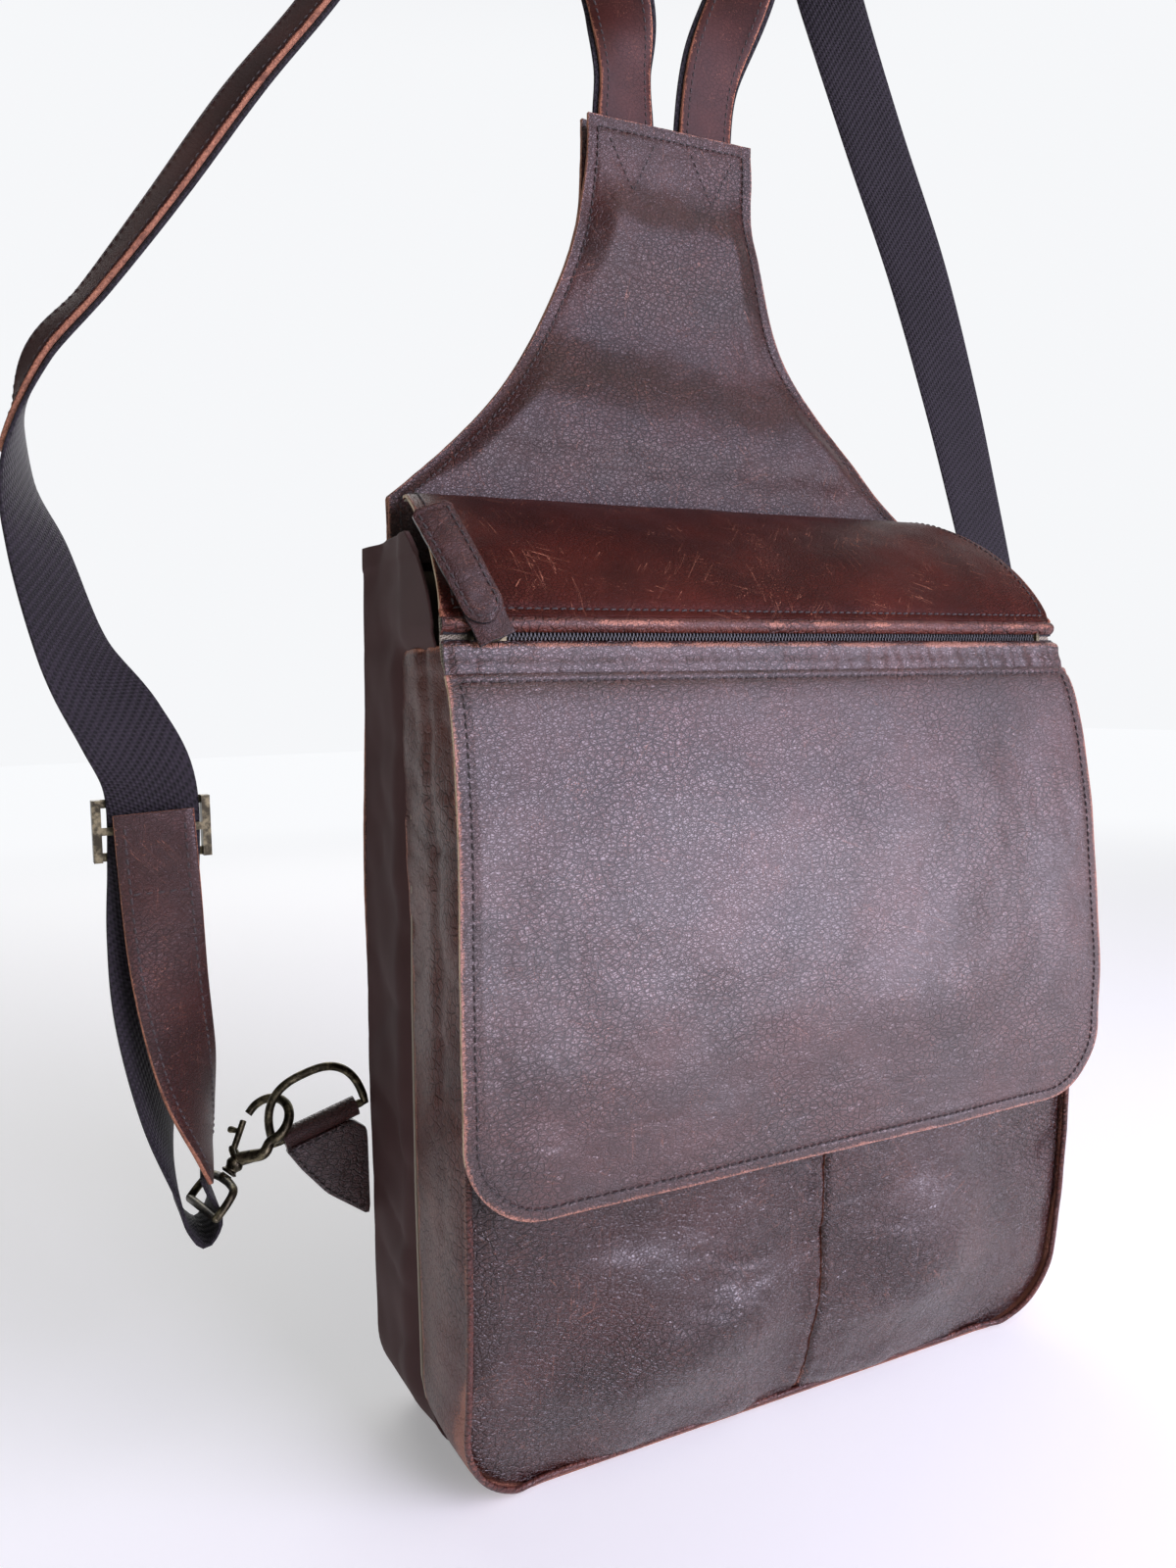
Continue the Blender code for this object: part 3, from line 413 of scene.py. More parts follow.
def raw_edge(name, dark, light):
    """Cut edge of leather: stacked fibres in streaks."""
    nodes = Nodes(name)
    place = nodes.body_mm()
    fibres = nodes.noise(place, 1 / 0.7, 5.0, 0.7)
    patches = nodes.noise(place, 1 / 7, 3.0)
    color = nodes.mix(nodes.step(fibres, 0.3, 0.7), dark, light)
    color = nodes.mix(nodes.step(patches, 0.5, 0.75), color, dark)
    return nodes.finish(Base_Color=color, Roughness=0.8, Normal=nodes.bump(fibres, 0.0003))


def woven(name, dark, light, pitch, turn, roughness, sheen, relief, rib=1.0):
    """Weave of the given pitch in millimetres, its threads turned from the sheet's length."""
    nodes = Nodes(name)
    place = nodes.surface_mm()
    turned = nodes.add("Mapping", Vector=nodes.vector("ADD", place, nodes.noise_vector(place, 1 / 9, 0.12)))
    turned.inputs["Rotation"].default_value = (0, 0, turn)
    split = nodes.add("SeparateXYZ", Vector=turned.outputs[0])
    turns = 2 * math.pi / pitch
    warp = nodes.math("SINE", nodes.math("MULTIPLY", split.outputs[0], turns))
    weft = nodes.math("SINE", nodes.math("MULTIPLY", split.outputs[1], turns * rib))
    threads = nodes.math("MULTIPLY_ADD", nodes.math("MULTIPLY", warp, weft), 0.35, 0.5)
    threads = nodes.math("MULTIPLY_ADD", weft, 0.25, threads)
    fuzz = nodes.noise(place, 1 / 0.3, 3.0, 0.6)
    tone = nodes.math("MULTIPLY_ADD", nodes.noise(place, 1 / 30, 2.0), 0.35,
                      nodes.math("MULTIPLY", threads, 0.8))
    color = nodes.mix(nodes.step(tone, 0.25, 0.95), dark, light)
    height = nodes.math("MULTIPLY_ADD", fuzz, 0.3, threads)
    return nodes.finish(Base_Color=color, Roughness=roughness, Normal=nodes.bump(height, relief),
                        Sheen_Weight=sheen, Sheen_Roughness=0.5, Specular_IOR_Level=0.2)


def aged_metal(name, dark, bright, roughness):
    """Dark patina with the metal showing through where it is rubbed."""
    nodes = Nodes(name)
    place = nodes.body_mm()
    patina = nodes.noise(place, 1 / 3.5, 5.0, 0.65)
    pits = nodes.noise(place, 1 / 0.5, 3.0, 0.6)
    color = nodes.mix(nodes.step(patina, 0.42, 0.66), dark, bright)
    rough = nodes.math("MULTIPLY_ADD", patina, 0.25, roughness)
    return nodes.finish(Base_Color=color, Metallic=1.0, Roughness=rough,
                        Normal=nodes.bump(pits, 0.00006, 0.6))


def moulded(name, dark, light, roughness):
    """Fine-grained plastic or board."""
    nodes = Nodes(name)
    place = nodes.body_mm()
    grain = nodes.noise(place, 1 / 0.4, 4.0, 0.6)
    tone = nodes.step(nodes.noise(place, 1 / 9, 3.0), 0.3, 0.7)
    return nodes.finish(Base_Color=nodes.mix(tone, dark, light), Roughness=roughness,
                        Normal=nodes.bump(grain, 0.0001))


def thread_material():
    """Twisted sewing thread."""
    nodes = Nodes("thread")
    place = nodes.body_mm()
    twist = nodes.math("SINE", nodes.math("MULTIPLY", nodes.noise(place, 1 / 0.25, 2.0), 30))
    color = nodes.mix(nodes.noise(place, 1 / 4, 2.0), srgb(30, 16, 16), srgb(58, 34, 32))
    return nodes.finish(Base_Color=color, Roughness=0.65, Normal=nodes.bump(twist, 0.00008),
                        Sheen_Weight=0.2)


# Leathers: darkest and lightest colour, then grain, roughness, scuffs, scratches, relief and gloss
LEATHERS = {
    "leather": ((50, 16, 13), (72, 29, 24), 1.0, 0.42, 0.9, 0.35, 1.2, 0.98),
    "yoke_leather": ((48, 15, 11), (68, 27, 21), 1.15, 0.35, 0.9, 0.6, 1.3, 0.58),
    "gusset_leather": ((70, 28, 20), (94, 44, 32), 0.8, 0.46, 0.8, 0.5, 1.0, 0.5),
    # Darker copy of the leather for the lower front panels: painted shade standing in for the dimmer light
    # on these down-tilted panels.
    "panel_leather_painted_shade": ((38, 11, 9), (54, 19, 15), 0.85, 0.25, 0.6, 0.4, 0.65, 0.68),
    "shoulder_leather": ((54, 17, 11), (76, 27, 18), 1.6, 0.36, 1.0, 0.9, 0.5, 0.1),
    "strap_leather": ((44, 15, 11), (66, 28, 22), 1.4, 0.38, 0.8, 0.4, 0.6, 0.45),
    "strip_leather": ((46, 17, 13), (68, 30, 24), 1.4, 0.55, 0.4, 0.2, 0.05, 0.22),
}
WORN = srgb(172, 112, 88)
FINISH = {
    **{name: leather(name, srgb(*dark), srgb(*light), WORN, *amounts)
       for name, (dark, light, *amounts) in LEATHERS.items()},
    "tan_edge": raw_edge("tan_edge", srgb(96, 56, 40), srgb(172, 116, 88)),
    "cream_edge": raw_edge("cream_edge", srgb(168, 140, 112), srgb(222, 204, 174)),
    "lining": woven("lining_cloth", srgb(108, 98, 86), srgb(178, 168, 150), 1.1, 0.5, 0.85, 0.1, 0.0003),
    "gusset": woven("gusset_cloth", srgb(56, 35, 34), srgb(76, 51, 49), 0.55, 0.0, 0.72, 0.03, 0.00005),
    "webbing": woven("webbing_weave", srgb(14, 11, 15), srgb(40, 34, 42), 1.5, 0.62, 0.6, 0.05, 0.0004,
                     0.55),
    "zip_tape": woven("zip_tape_weave", srgb(14, 13, 15), srgb(38, 36, 40), 0.7, 0.78, 0.75, 0.2, 0.0002),
    "zip": moulded("zip_nylon", srgb(14, 14, 16), srgb(30, 30, 33), 0.3),
    "foam": moulded("foam_padding", srgb(60, 58, 58), srgb(84, 82, 80), 0.95),
    "board": moulded("fibre_board", srgb(120, 92, 66), srgb(150, 120, 88), 0.85),
    "brass": aged_metal("antique_brass", srgb(58, 54, 44), srgb(124, 116, 92), 0.26),
    "steel": aged_metal("plated_steel", srgb(140, 140, 142), srgb(190, 190, 192), 0.2),
    "thread": thread_material(),
}


# ---- numbers and noise ---------------------------------------------------------------------


def smooth(value, low, high):
    """0 below low and 1 above high, smooth between them."""
    share = np.clip((value - low) / (high - low), 0, 1)
    return share * share * (3 - 2 * share)


def waves(x, y, size, seed):
    """Smooth random bumps from about -1 to 1, about twice size from crest to crest."""
    px, py = x / size + 37.17 * seed, y / size + 17.71 * seed
    ix, iy = np.floor(px).astype(np.int64), np.floor(py).astype(np.int64)
    fx, fy = px - ix, py - iy
    sx, sy = fx ** 3 * (fx * (fx * 6 - 15) + 10), fy ** 3 * (fy * (fy * 6 - 15) + 10)

    def corner(dx, dy):
        mixed = ((ix + dx) * 374761393 + (iy + dy) * 668265263) & 0xFFFFFFFF
        mixed = ((mixed ^ (mixed >> 13)) * 1274126177) & 0xFFFFFFFF
        angle = ((mixed ^ (mixed >> 16)) & 1023) / 1024 * 2 * np.pi
        return np.cos(angle) * (fx - dx) + np.sin(angle) * (fy - dy)

    low = corner(0, 0) * (1 - sx) + corner(1, 0) * sx
    high = corner(0, 1) * (1 - sx) + corner(1, 1) * sx
    return 1.5 * (low * (1 - sy) + high * sy)


def folds(x, y, size, seed):
    """Sharp-crested creases, from 0 to 1."""
    return np.clip(1 - np.abs(waves(x, y, size, seed)) * 2.2, 0, 1) ** 2


def hill(x, y, at_x, at_y, wide, tall):
    """Round bump of height 1."""
    return np.exp(-((x - at_x) / wide) ** 2 - ((y - at_y) / tall) ** 2)


def fade(distance, reach):
    """1 at no distance, falling off over about reach millimetres."""
    return np.exp(-distance / (reach * MM))


def ridge(place, middle, wide):
    """1 at the middle, falling off on both sides over about wide millimetres."""
    return np.exp(-((place - middle) / (wide * MM)) ** 2)


def spread(low, high, step, fine=0.0, margin=0.0):
    """Places from low to high about a step apart, and finer within a margin of both ends."""
    if not margin:
        return np.linspace(low, high, max(2, round((high - low) / step) + 1))
    ends = np.linspace(0, margin, max(2, round(margin / fine) + 1))
    middle = np.linspace(low + margin, high - margin, max(2, round((high - low - 2 * margin) / step) + 1))
    return np.concatenate([low + ends[:-1], middle, high - ends[-2::-1]])


def points_of(x, y, z):
    """Points from coordinates that may each be a row, a column or a table."""
    return np.stack(np.broadcast_arrays(x, y, z), axis=-1)


def rows_of(along, across):
    """The table of places across a surface, and one of the same shape with each row's place along it."""
    return across, np.broadcast_to(along[:, None], across.shape)


def catmull(points, steps):
    """Points along a Catmull-Rom curve through the given points."""
    points = np.asarray(points, float)
    ends = np.concatenate([[2 * points[0] - points[1]], points, [2 * points[-1] - points[-2]]])
    place = np.linspace(0, len(points) - 1, steps + 1)
    i = np.minimum(place.astype(int), len(points) - 2)
    t = (place - i)[:, None]
    a, b, c, d = ends[i], ends[i + 1], ends[i + 2], ends[i + 3]
    cubic = 3 * b - a - 3 * c + d
    return 0.5 * (2 * b + (c - a) * t + (2 * a - 5 * b + 4 * c - d) * t ** 2 + cubic * t ** 3)


def lengths(points):
    """Distance along a line of points, at each of them."""
    return np.concatenate([[0], np.cumsum(np.linalg.norm(np.diff(points, axis=0), axis=1))])


def unit(vectors):
    """Vectors of length 1."""
    return vectors / np.maximum(np.linalg.norm(vectors, axis=-1, keepdims=True), 1e-12)


class Surface:
    """Curved sheet given by a function of two distances in metres."""

    def __init__(self, place, side=1):
        self.place = place
        self.side = side

    def at(self, u, v, lift=0.0):
        """Points on the sheet, raised along its outward side, and the outward directions."""
        u, v = np.broadcast_arrays(np.asarray(u, float), np.asarray(v, float))
        small = 3e-4
        across = self.place(u + small, v) - self.place(u - small, v)
        along = self.place(u, v + small) - self.place(u, v - small)
        outward = unit(np.cross(across, along)) * self.side
        lift = np.asarray(lift, float)
        if lift.ndim:
            lift = lift[..., None]
        return self.place(u, v) + outward * lift, outward


# ---- meshes --------------------------------------------------------------------------------


def new_piece(name, verts, faces, finishes, body, uvs=None, wear=None, kinds=None):
    """Mesh object on a body, with its places on the sheet, its wear and its materials."""
    mesh = bpy.data.meshes.new(name)
    mesh.from_pydata([tuple(v) for v in verts], [], [tuple(int(i) for i in f) for f in faces])
    for finish in finishes:
        mesh.materials.append(FINISH[finish])
    if kinds is not None:
        mesh.polygons.foreach_set("material_index", np.asarray(kinds, np.int32))
    if uvs is None:
        uvs = np.asarray(verts)[:, [0, 2]]
    corner = np.empty(len(mesh.loops), np.int32)
    mesh.loops.foreach_get("vertex_index", corner)
    layer = mesh.uv_layers.new(name="sheet")
    layer.data.foreach_set("uv", np.asarray(uvs, np.float32)[corner].ravel())
    if wear is not None:
        layer = mesh.attributes.new("wear", "FLOAT", "POINT")
        layer.data.foreach_set("value", np.asarray(wear, np.float32))
    shape = bmesh.new()
    shape.from_mesh(mesh)
    bmesh.ops.recalc_face_normals(shape, faces=shape.faces)
    shape.to_mesh(mesh)
    shape.free()
    mesh.shade_smooth()
    mesh.set_sharp_from_angle(angle=math.radians(42))
    piece = bpy.data.objects.new(name, mesh)
    bpy.context.collection.objects.link(piece)
    if isinstance(body, str):
        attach(piece, body)
    else:
        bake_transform(piece)
    return piece


def grid_faces(rows, columns, closed=False):
    """Four-sided faces over rows and columns of points, joined round when closed."""
    index = np.arange(rows * columns).reshape(rows, columns)
    if closed:
        index = np.concatenate([index, index[:, :1]], axis=1)
    corners = (index[:-1, :-1], index[1:, :-1], index[1:, 1:], index[:-1, 1:])
    return np.stack(corners, axis=-1).reshape(-1, 4)


def sheet_piece(name, surface, u, v, thickness, finishes, body, lift=0.0, wear=0.0,
                round_off=0.5 * MM,
                rim_wear=0.0):
    """Closed sheet of leather or cloth over a grid of places; its rim takes the second finish."""
    outer, outward = surface.at(u, v, lift)
    rows, columns = outer.shape[:2]
    inner = outer - outward * (thickness[..., None] if np.ndim(thickness) else thickness)
    count = rows * columns
    faces = grid_faces(rows, columns)
    index = np.arange(count).reshape(rows, columns)
    loop = np.concatenate([index[0, :-1], index[:-1, -1], index[-1, :0:-1], index[:0:-1, 0]])
    after = np.roll(loop, -1)
    rim = np.stack([loop, after, after + count, loop + count], axis=-1)
    every = np.concatenate([faces, faces[:, ::-1] + count, rim])
    kinds = np.concatenate([np.zeros(2 * len(faces)), np.ones(len(rim))]) if len(finishes) > 1 else None
    uv = np.stack(np.broadcast_arrays(u, v), axis=-1).reshape(-1, 2)
    worn = np.broadcast_to(np.asarray(wear, float), (rows, columns)).reshape(-1)
    if rim_wear:
        worn = worn.copy()
        worn[loop] = np.maximum(worn[loop], rim_wear)
    piece = new_piece(name, np.concatenate([outer.reshape(-1, 3), inner.reshape(-1, 3)]), every, finishes,
                      body, np.concatenate([uv, uv]), np.concatenate([worn, worn]), kinds)
    if round_off:
        bevel = piece.modifiers.new("rounded_edges", "BEVEL")
        bevel.width = round_off
        bevel.segments = 2
        bevel.limit_method = "ANGLE"
        bevel.angle_limit = math.radians(48)
    return piece


def stitches(name, runs, body):
    """Row of thread stitches along each run of (points, outward directions)."""
    sides, rings = 6, ((-0.5, 0.3, -1.0), (-0.38, 0.85, -0.1), (0, 1.0, 0.35), (0.38, 0.85, -0.1),
                       (0.5, 0.3, -1.0))
    verts, faces = [], []
    ring_faces = grid_faces(len(rings), sides, closed=True)
    caps = [list(range(sides)), list(range((len(rings) - 1) * sides, len(rings) * sides))]
    for points, outward in runs:
        far = lengths(points)
        count = max(1, int(far[-1] / STITCH_PITCH))
        middle = (np.arange(count) + 0.5) * far[-1] / count
        for place in middle:
            here, ahead = [np.array([np.interp(spot, far, line) for line in points.T])
                           for spot in (place, place + MM)]
            up = unit(np.array([np.interp(place, far, outward[:, k]) for k in range(3)]))
            along = unit(ahead - here)
            across = unit(np.cross(up, along))
            slant = unit(along + across * 0.12)
            start = len(verts)
            for reach, size, height in rings:
                centre = here + slant * reach * STITCH_LENGTH + up * height * THREAD_RADIUS
                for k in range(sides):
                    turn = 2 * math.pi * k / sides
                    verts.append(centre + (across * math.cos(turn) + up * math.sin(turn)) * size
                                 * THREAD_RADIUS)
            faces.extend((ring_faces + start).tolist())
            faces.extend([[i + start for i in cap] for cap in caps])
    return new_piece(name, verts, faces, ["thread"], body)


def sweep(points, radii, sides=16, closed=False):
    """Round wire through points: vertices, faces and places along it."""
    points = np.asarray(points, float)
    count = len(points)
    if closed:
        along = unit(np.roll(points, -1, axis=0) - np.roll(points, 1, axis=0))
    else:
        along = unit(np.gradient(points, axis=0))
    radii = np.broadcast_to(np.asarray(radii, float), (count,))
    side = np.cross(along[0], (0.31, 0.77, 0.55))
    sides_at = []
    for direction in along:
        side = unit(side - direction * side.dot(direction))
        sides_at.append(side)
    sides_at = np.array(sides_at)
    if closed:
        last = unit(sides_at[-1] - along[0] * sides_at[-1].dot(along[0]))
        turn = math.atan2(np.cross(sides_at[0], last).dot(along[0]), sides_at[0].dot(last))
        shares = np.arange(count) / count
        other = np.cross(along, sides_at)
        angle = -turn * shares[:, None]
        sides_at = sides_at * np.cos(angle) + other * np.sin(angle)
    other = np.cross(along, sides_at)
    turns = np.linspace(0, 2 * np.pi, sides, endpoint=False)
    ring = sides_at[:, None] * np.cos(turns)[None, :, None] + other[:, None] * np.sin(turns)[None, :, None]
    verts = (points[:, None] + ring * radii[:, None, None]).reshape(-1, 3)
    faces = grid_faces(count, sides, closed=True).tolist()
    if closed:
        index = np.arange(count * sides).reshape(count, sides)
        wrapped = np.concatenate([index[-1:], index[:1]])
        wrapped = np.concatenate([wrapped, wrapped[:, :1]], axis=1)
        faces += np.stack([wrapped[0, :-1], wrapped[1, :-1], wrapped[1, 1:], wrapped[0, 1:]],
                          axis=-1).tolist()
    else:
        faces += [list(range(sides)), list(range((count - 1) * sides, count * sides))]
    return verts, faces


def wire_piece(name, parts, finish, body, wear=0.0):
    """One piece of several closed wires, each given as (points, radii, closed)."""
    verts, faces = [], []
    for points, radii, closed in parts:
        more, around = sweep(points, radii, closed=closed)
        start = len(verts)
        verts.extend(more.tolist())
        faces.extend([[i + start for i in face] for face in around])
    return new_piece(name, verts, faces, [finish], body, wear=np.full(len(verts), wear))


# ---- shapes of the body --------------------------------------------------------------------


def u_path(half_top, half_width, top, radius=CORNER_RADIUS):
    """x and z along a U, as functions of the distance from the middle of its base."""
    turn = np.linspace(0, np.pi / 2, 24)
    share = np.linspace(0, 1, 40)[1:]
    narrow = (half_width - half_top) * np.maximum(0, share * 1.6 - 0.6)
    x = np.concatenate([[0], half_width - radius + radius * np.sin(turn), half_width - narrow])
    z = np.concatenate([[0], radius - radius * np.cos(turn), radius + (top - radius) * share])
    far = lengths(np.stack([x, z], axis=1))

    def at(t):
        reach = np.abs(t)
        past = np.maximum(0, reach - far[-1])
        return np.sign(t) * np.interp(reach, far, x), np.interp(reach, far, z) + past

    return at, far[-1]


def seam_depth(z):
    """y of the seam between the front gusset and the front panel."""
    high = (-55 + 14 * (np.maximum(0, z / MM - 200) / 111) ** 1.6) * MM
    low = (-36 - 19 * np.sin(np.pi / 2 * np.clip(z / MM / 130, 0, 1)) ** 0.6) * MM
    return np.where(z > 130 * MM, high, low)


def front_gusset_surface():
    path, _ = u_path(FRONT_TOP_HALF_WIDTH, FRONT_HALF_WIDTH, FRONT_TOP)

    def place(t, w):
        x, z = path(t)
        share = w / (50 * MM)
        rear = SEAM_Y + 13 * MM * smooth(z, 170 * MM, 300 * MM)
        y = rear + (seam_depth(z) - rear) * share
        side = smooth(np.abs(t), FRONT_HALF_WIDTH - CORNER_RADIUS, FRONT_HALF_WIDTH + 40 * MM)
        across = np.clip(share, 0, 1)
        pillow = (2.6 * np.sin(np.pi * across) ** 0.8 - 1.2) * MM
        valley = -1.6 * MM * np.exp(-((across - 0.62) / 0.08) ** 2) * smooth(z, 60 * MM, 200 * MM)
        dents = (1.1 * waves(t, y, 30 * MM, 3) + 0.5 * waves(t, y * 0.5, 9 * MM, 4)) * MM
        creases = -0.9 * MM * folds(t, y * 0.35, 17 * MM, 6) * smooth(z, 90 * MM, 150 * MM)
        seams = smooth(np.minimum(across, 1 - across), -0.05, 0.12)
        out = (pillow + valley + dents + creases) * side * seams
        out = out - 0.6 * MM * smooth(across, 0.9, 1.0)
        sign = np.where(np.abs(x) < 1e-9, 1, np.sign(x))
        level = smooth(z, 2 * MM, CORNER_RADIUS)
        return np.stack([x + sign * out * level, y, np.maximum(z + 0 * out, 0)], axis=-1)

    return place


def front_panel_edge(z):
    """Half the width of the front panel at height z."""
    wide = FRONT_HALF_WIDTH - 1.2 * MM
    low = 1.4 * MM
    curve = CORNER_RADIUS - 1.2 * MM
    drop = np.clip(low + curve - z, 0, curve)
    rounded = wide - curve + np.sqrt(np.maximum(0, curve ** 2 - drop ** 2))
    share = np.clip((z - low - curve) / (FRONT_TOP - low - curve), 0, 1)
    return rounded - (FRONT_HALF_WIDTH - FRONT_TOP_HALF_WIDTH) * np.maximum(0, share * 1.6 - 0.6)


def front_relief(x, z):
    """How far the front panel stands proud of its seams."""
    half = front_panel_edge(z)
    across = np.clip(1 - (x / half) ** 2, 0, 1)
    up = np.sin(np.pi * np.clip(z / FRONT_TOP, 0, 1) ** 0.55)
    swell = 6 * across ** 0.6 * up
    low = smooth(FRONT_TOP - z, 120 * MM, 230 * MM)
    swell = swell + 9.0 * hill(x, z, -50 * MM, 47 * MM, 44 * MM, 23 * MM)
    swell = swell + 8.6 * hill(x, z, 60 * MM, 52 * MM, 38 * MM, 24 * MM)
    swell = swell - 3.0 * hill(x, z, -4 * MM, 52 * MM, 15 * MM, 50 * MM)
    swell = swell - 2.4 * hill(x, z, -104 * MM, 34 * MM, 24 * MM, 34 * MM)
    swell = swell - 2.2 * hill(x, z, -66 * MM, 96 * MM, 34 * MM, 11 * MM)
    swell = swell - 2.0 * hill(x, z, 104 * MM, 40 * MM, 22 * MM, 42 * MM)
    swell = swell + 1.3 * waves(x * 0.8 + z * 0.5, z, 27 * MM, 13) * low
    swell = swell - 2.6 * hill(x, z, 136 * MM, 84 * MM, 20 * MM, 9 * MM)
    swell = swell + 0.9 * waves(x, z, 34 * MM, 11) + 0.45 * waves(x, z, 14 * MM, 12)
    centre = np.exp(-((x + 12 * MM) / (48 * MM)) ** 2)
    swell = swell - 0.8 * folds(x * 0.45 + z * 0.5, z, 15 * MM, 14) * centre * low
    swell = swell - 0.35 * folds(x, z, 8 * MM, 15)
    return swell * smooth(across, 0.0, 0.14) * MM


def front_panel_surface(x, z):
    """Places on the front panel by x and z."""
    y = seam_depth(z) + 1.6 * MM - front_relief(x, z)
    return points_of(x, y, z)


def add_front_body():
    path, reach = u_path(FRONT_TOP_HALF_WIDTH, FRONT_HALF_WIDTH, FRONT_TOP)
    gusset = Surface(front_gusset_surface(), side=-1)
    t, w = spread(-reach, reach, 2.2 * MM), spread(0, 50 * MM, 2.2 * MM, 0.9 * MM, 4 * MM)
    u, v = np.meshgrid(t, w, indexing="ij")
    top = fade(reach - np.abs(u), 3)
    front_wear = 0.85 * fade(50 * MM - v, 3.5)
    rear_wear = 1.0 * fade(v, 2.6)
    corner = 0.6 * smooth(np.abs(u), 90 * MM, 125 * MM) * (1 - smooth(np.abs(u), 165 * MM, 200 * MM))
    wear = np.maximum.reduce([top, front_wear + corner * smooth(v, 20 * MM, 46 * MM), rear_wear])
    piece = sheet_piece("front_gusset_leather", gusset, u, v, 1.6 * MM, ["gusset_leather", "tan_edge"],
                        "bag", lift=0.9 * MM, wear=wear)
    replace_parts(piece, "front_gusset")
    points, outward = gusset.at(t[np.abs(t) > 150 * MM], 3.2 * MM, 0.9 * MM)
    left = points[:, 0] < 0
    runs = [(points[left], outward[left]), (points[~left], outward[~left])]
    for _, sign in reversed(SIDES):
        runs.append(gusset.at(sign * (reach - 4 * MM), spread(4 * MM, 46 * MM, 2 * MM), 0.9 * MM))
    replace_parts(stitches("front_gusset_stitches", runs, "bag"), "front_gusset")

    panel = Surface(front_panel_surface)
    for side, sign in SIDES:
        heights = spread(1.6 * MM, FRONT_TOP - 4 * MM, 2.2 * MM, 1.0 * MM, 10 * MM)
        shares = np.linspace(0, 1, 74)
        shares = shares - 0.06 * np.sin(2 * np.pi * shares)
        edge = front_panel_edge(heights)
        u = PANEL_SEAM_X + (sign * edge - PANEL_SEAM_X)[:, None] * shares[None, :]
        u, v = rows_of(heights, u + sign * 0.25 * MM * (1 - shares[None, :]))
        seam = np.abs(u - PANEL_SEAM_X)
        rolled = fade(seam, 1.1) * (-1.3 * MM) + 0.5 * MM * ridge(seam, 3 * MM, 2)
        border = np.abs(sign * edge[:, None] - u)
        rolled = rolled - 1.2 * MM * fade(border, 1.6)
        wear = 0.5 * fade(seam, 1.5) + 0.45 * fade(border, 2.5)
        low = 0.35 * (1 - smooth(v, 4 * MM, 22 * MM))
        # The panels take the darker leather copy, whose colour carries painted shade.
        piece = sheet_piece("front_panel_leather_" + side, panel, u, v, 1.5 * MM,
                            ["panel_leather_painted_shade", "tan_edge"], "bag", lift=rolled, wear=wear + low)
        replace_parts(piece, "front_panel_" + side)

    t = spread(-reach + 3 * MM, reach - 3 * MM, 2.5 * MM)
    x, z = path(t)
    narrow = x * (1 - 1.0 * MM / FRONT_HALF_WIDTH)
    y = seam_depth(z) - 0.5 * MM + 0.3 * MM * waves(t, 0 * t, 14 * MM, 8)
    points = np.stack([narrow, y, np.maximum(z, 2.0 * MM)], axis=1)
    piping = wire_piece("piping_cord", [(points, 1.2 * MM, False)], "gusset_leather", "bag",
                        wear=0.42)
    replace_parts(piping, "front_piping")


def add_rear_gusset():
    path, reach = u_path(REAR_TOP_HALF_WIDTH, BODY_HALF_WIDTH, REAR_TOP)

    def place(t, y):
        x, z = path(t)
        middle = np.clip((y - SEAM_Y) / (47 * MM), 0, 1)
        belly = np.sin(np.pi * middle) ** 0.7
        wave = 2.2 * waves(t, y * 0.3, 46 * MM, 21) - 1.6 + 0.8 * waves(t, y, 17 * MM, 22)
        crease = -1.2 * folds(t, y * 0.5, 30 * MM, 24)
        out = (wave + crease) * belly * MM * smooth(np.abs(t), 110 * MM, 180 * MM)
        out = out - 1.4 * MM * ridge(z, 150 * MM, 60) * belly * smooth(z, 40 * MM, 90 * MM)
        tuck = (1 - smooth(y, SEAM_Y, SEAM_Y + 15 * MM)) * (1 - smooth(z, 305 * MM, 318 * MM))
        out = out - 6.2 * MM * tuck
        sign = np.where(np.abs(x) < 1e-9, 1, np.sign(x))
        return points_of(x + sign * out * smooth(z, 2 * MM, CORNER_RADIUS), y, z)

    surface = Surface(place)
    t = spread(-reach, reach, 3 * MM, 1.2 * MM, 10 * MM)
    flap = FlapShape()
    _, height = path(t)
    behind_flap = np.interp(-height, -flap.z, flap.y) + 7 * MM
    reach_out = SEAM_Y - 4 * MM - 32 * MM * smooth(height, 285 * MM, 322 * MM)
    first = np.where(height > 280 * MM, np.maximum(reach_out, behind_flap), SEAM_Y - 4 * MM)
    widths = BACK_Y - 2.2 * MM - first
    v, u = rows_of(t, first[:, None] + widths[:, None] * np.linspace(0, 1, 26)[None, :])
    hem = 0.9 * MM * smooth(np.abs(u), reach - 9.2 * MM, reach - 8.6 * MM)
    piece = sheet_piece("rear_gusset_cloth", surface, u, v, 1.2 * MM + hem, ["gusset"], "bag",
                        lift=0.5 * hem, round_off=0.4 * MM)
    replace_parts(piece, "rear_gusset")
    rows = spread(first[0] + 2 * MM, BACK_Y - 4 * MM, 2 * MM)
    runs = [surface.at(sign * (reach - 6.5 * MM), rows, 0.45 * MM) for _, sign in SIDES]
    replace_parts(stitches("rear_gusset_stitches", runs, "bag"), "rear_gusset")


def yoke_half_width(z):
    """Half the width of the yoke, whose sides are hollow."""
    share = np.clip((z - YOKE_BASE) / (YOKE_TOP - YOKE_BASE), 0, 1)
    return YOKE_TOP_HALF_WIDTH + (YOKE_BASE_HALF_WIDTH - YOKE_TOP_HALF_WIDTH) * (1 - share) ** YOKE_HOLLOW


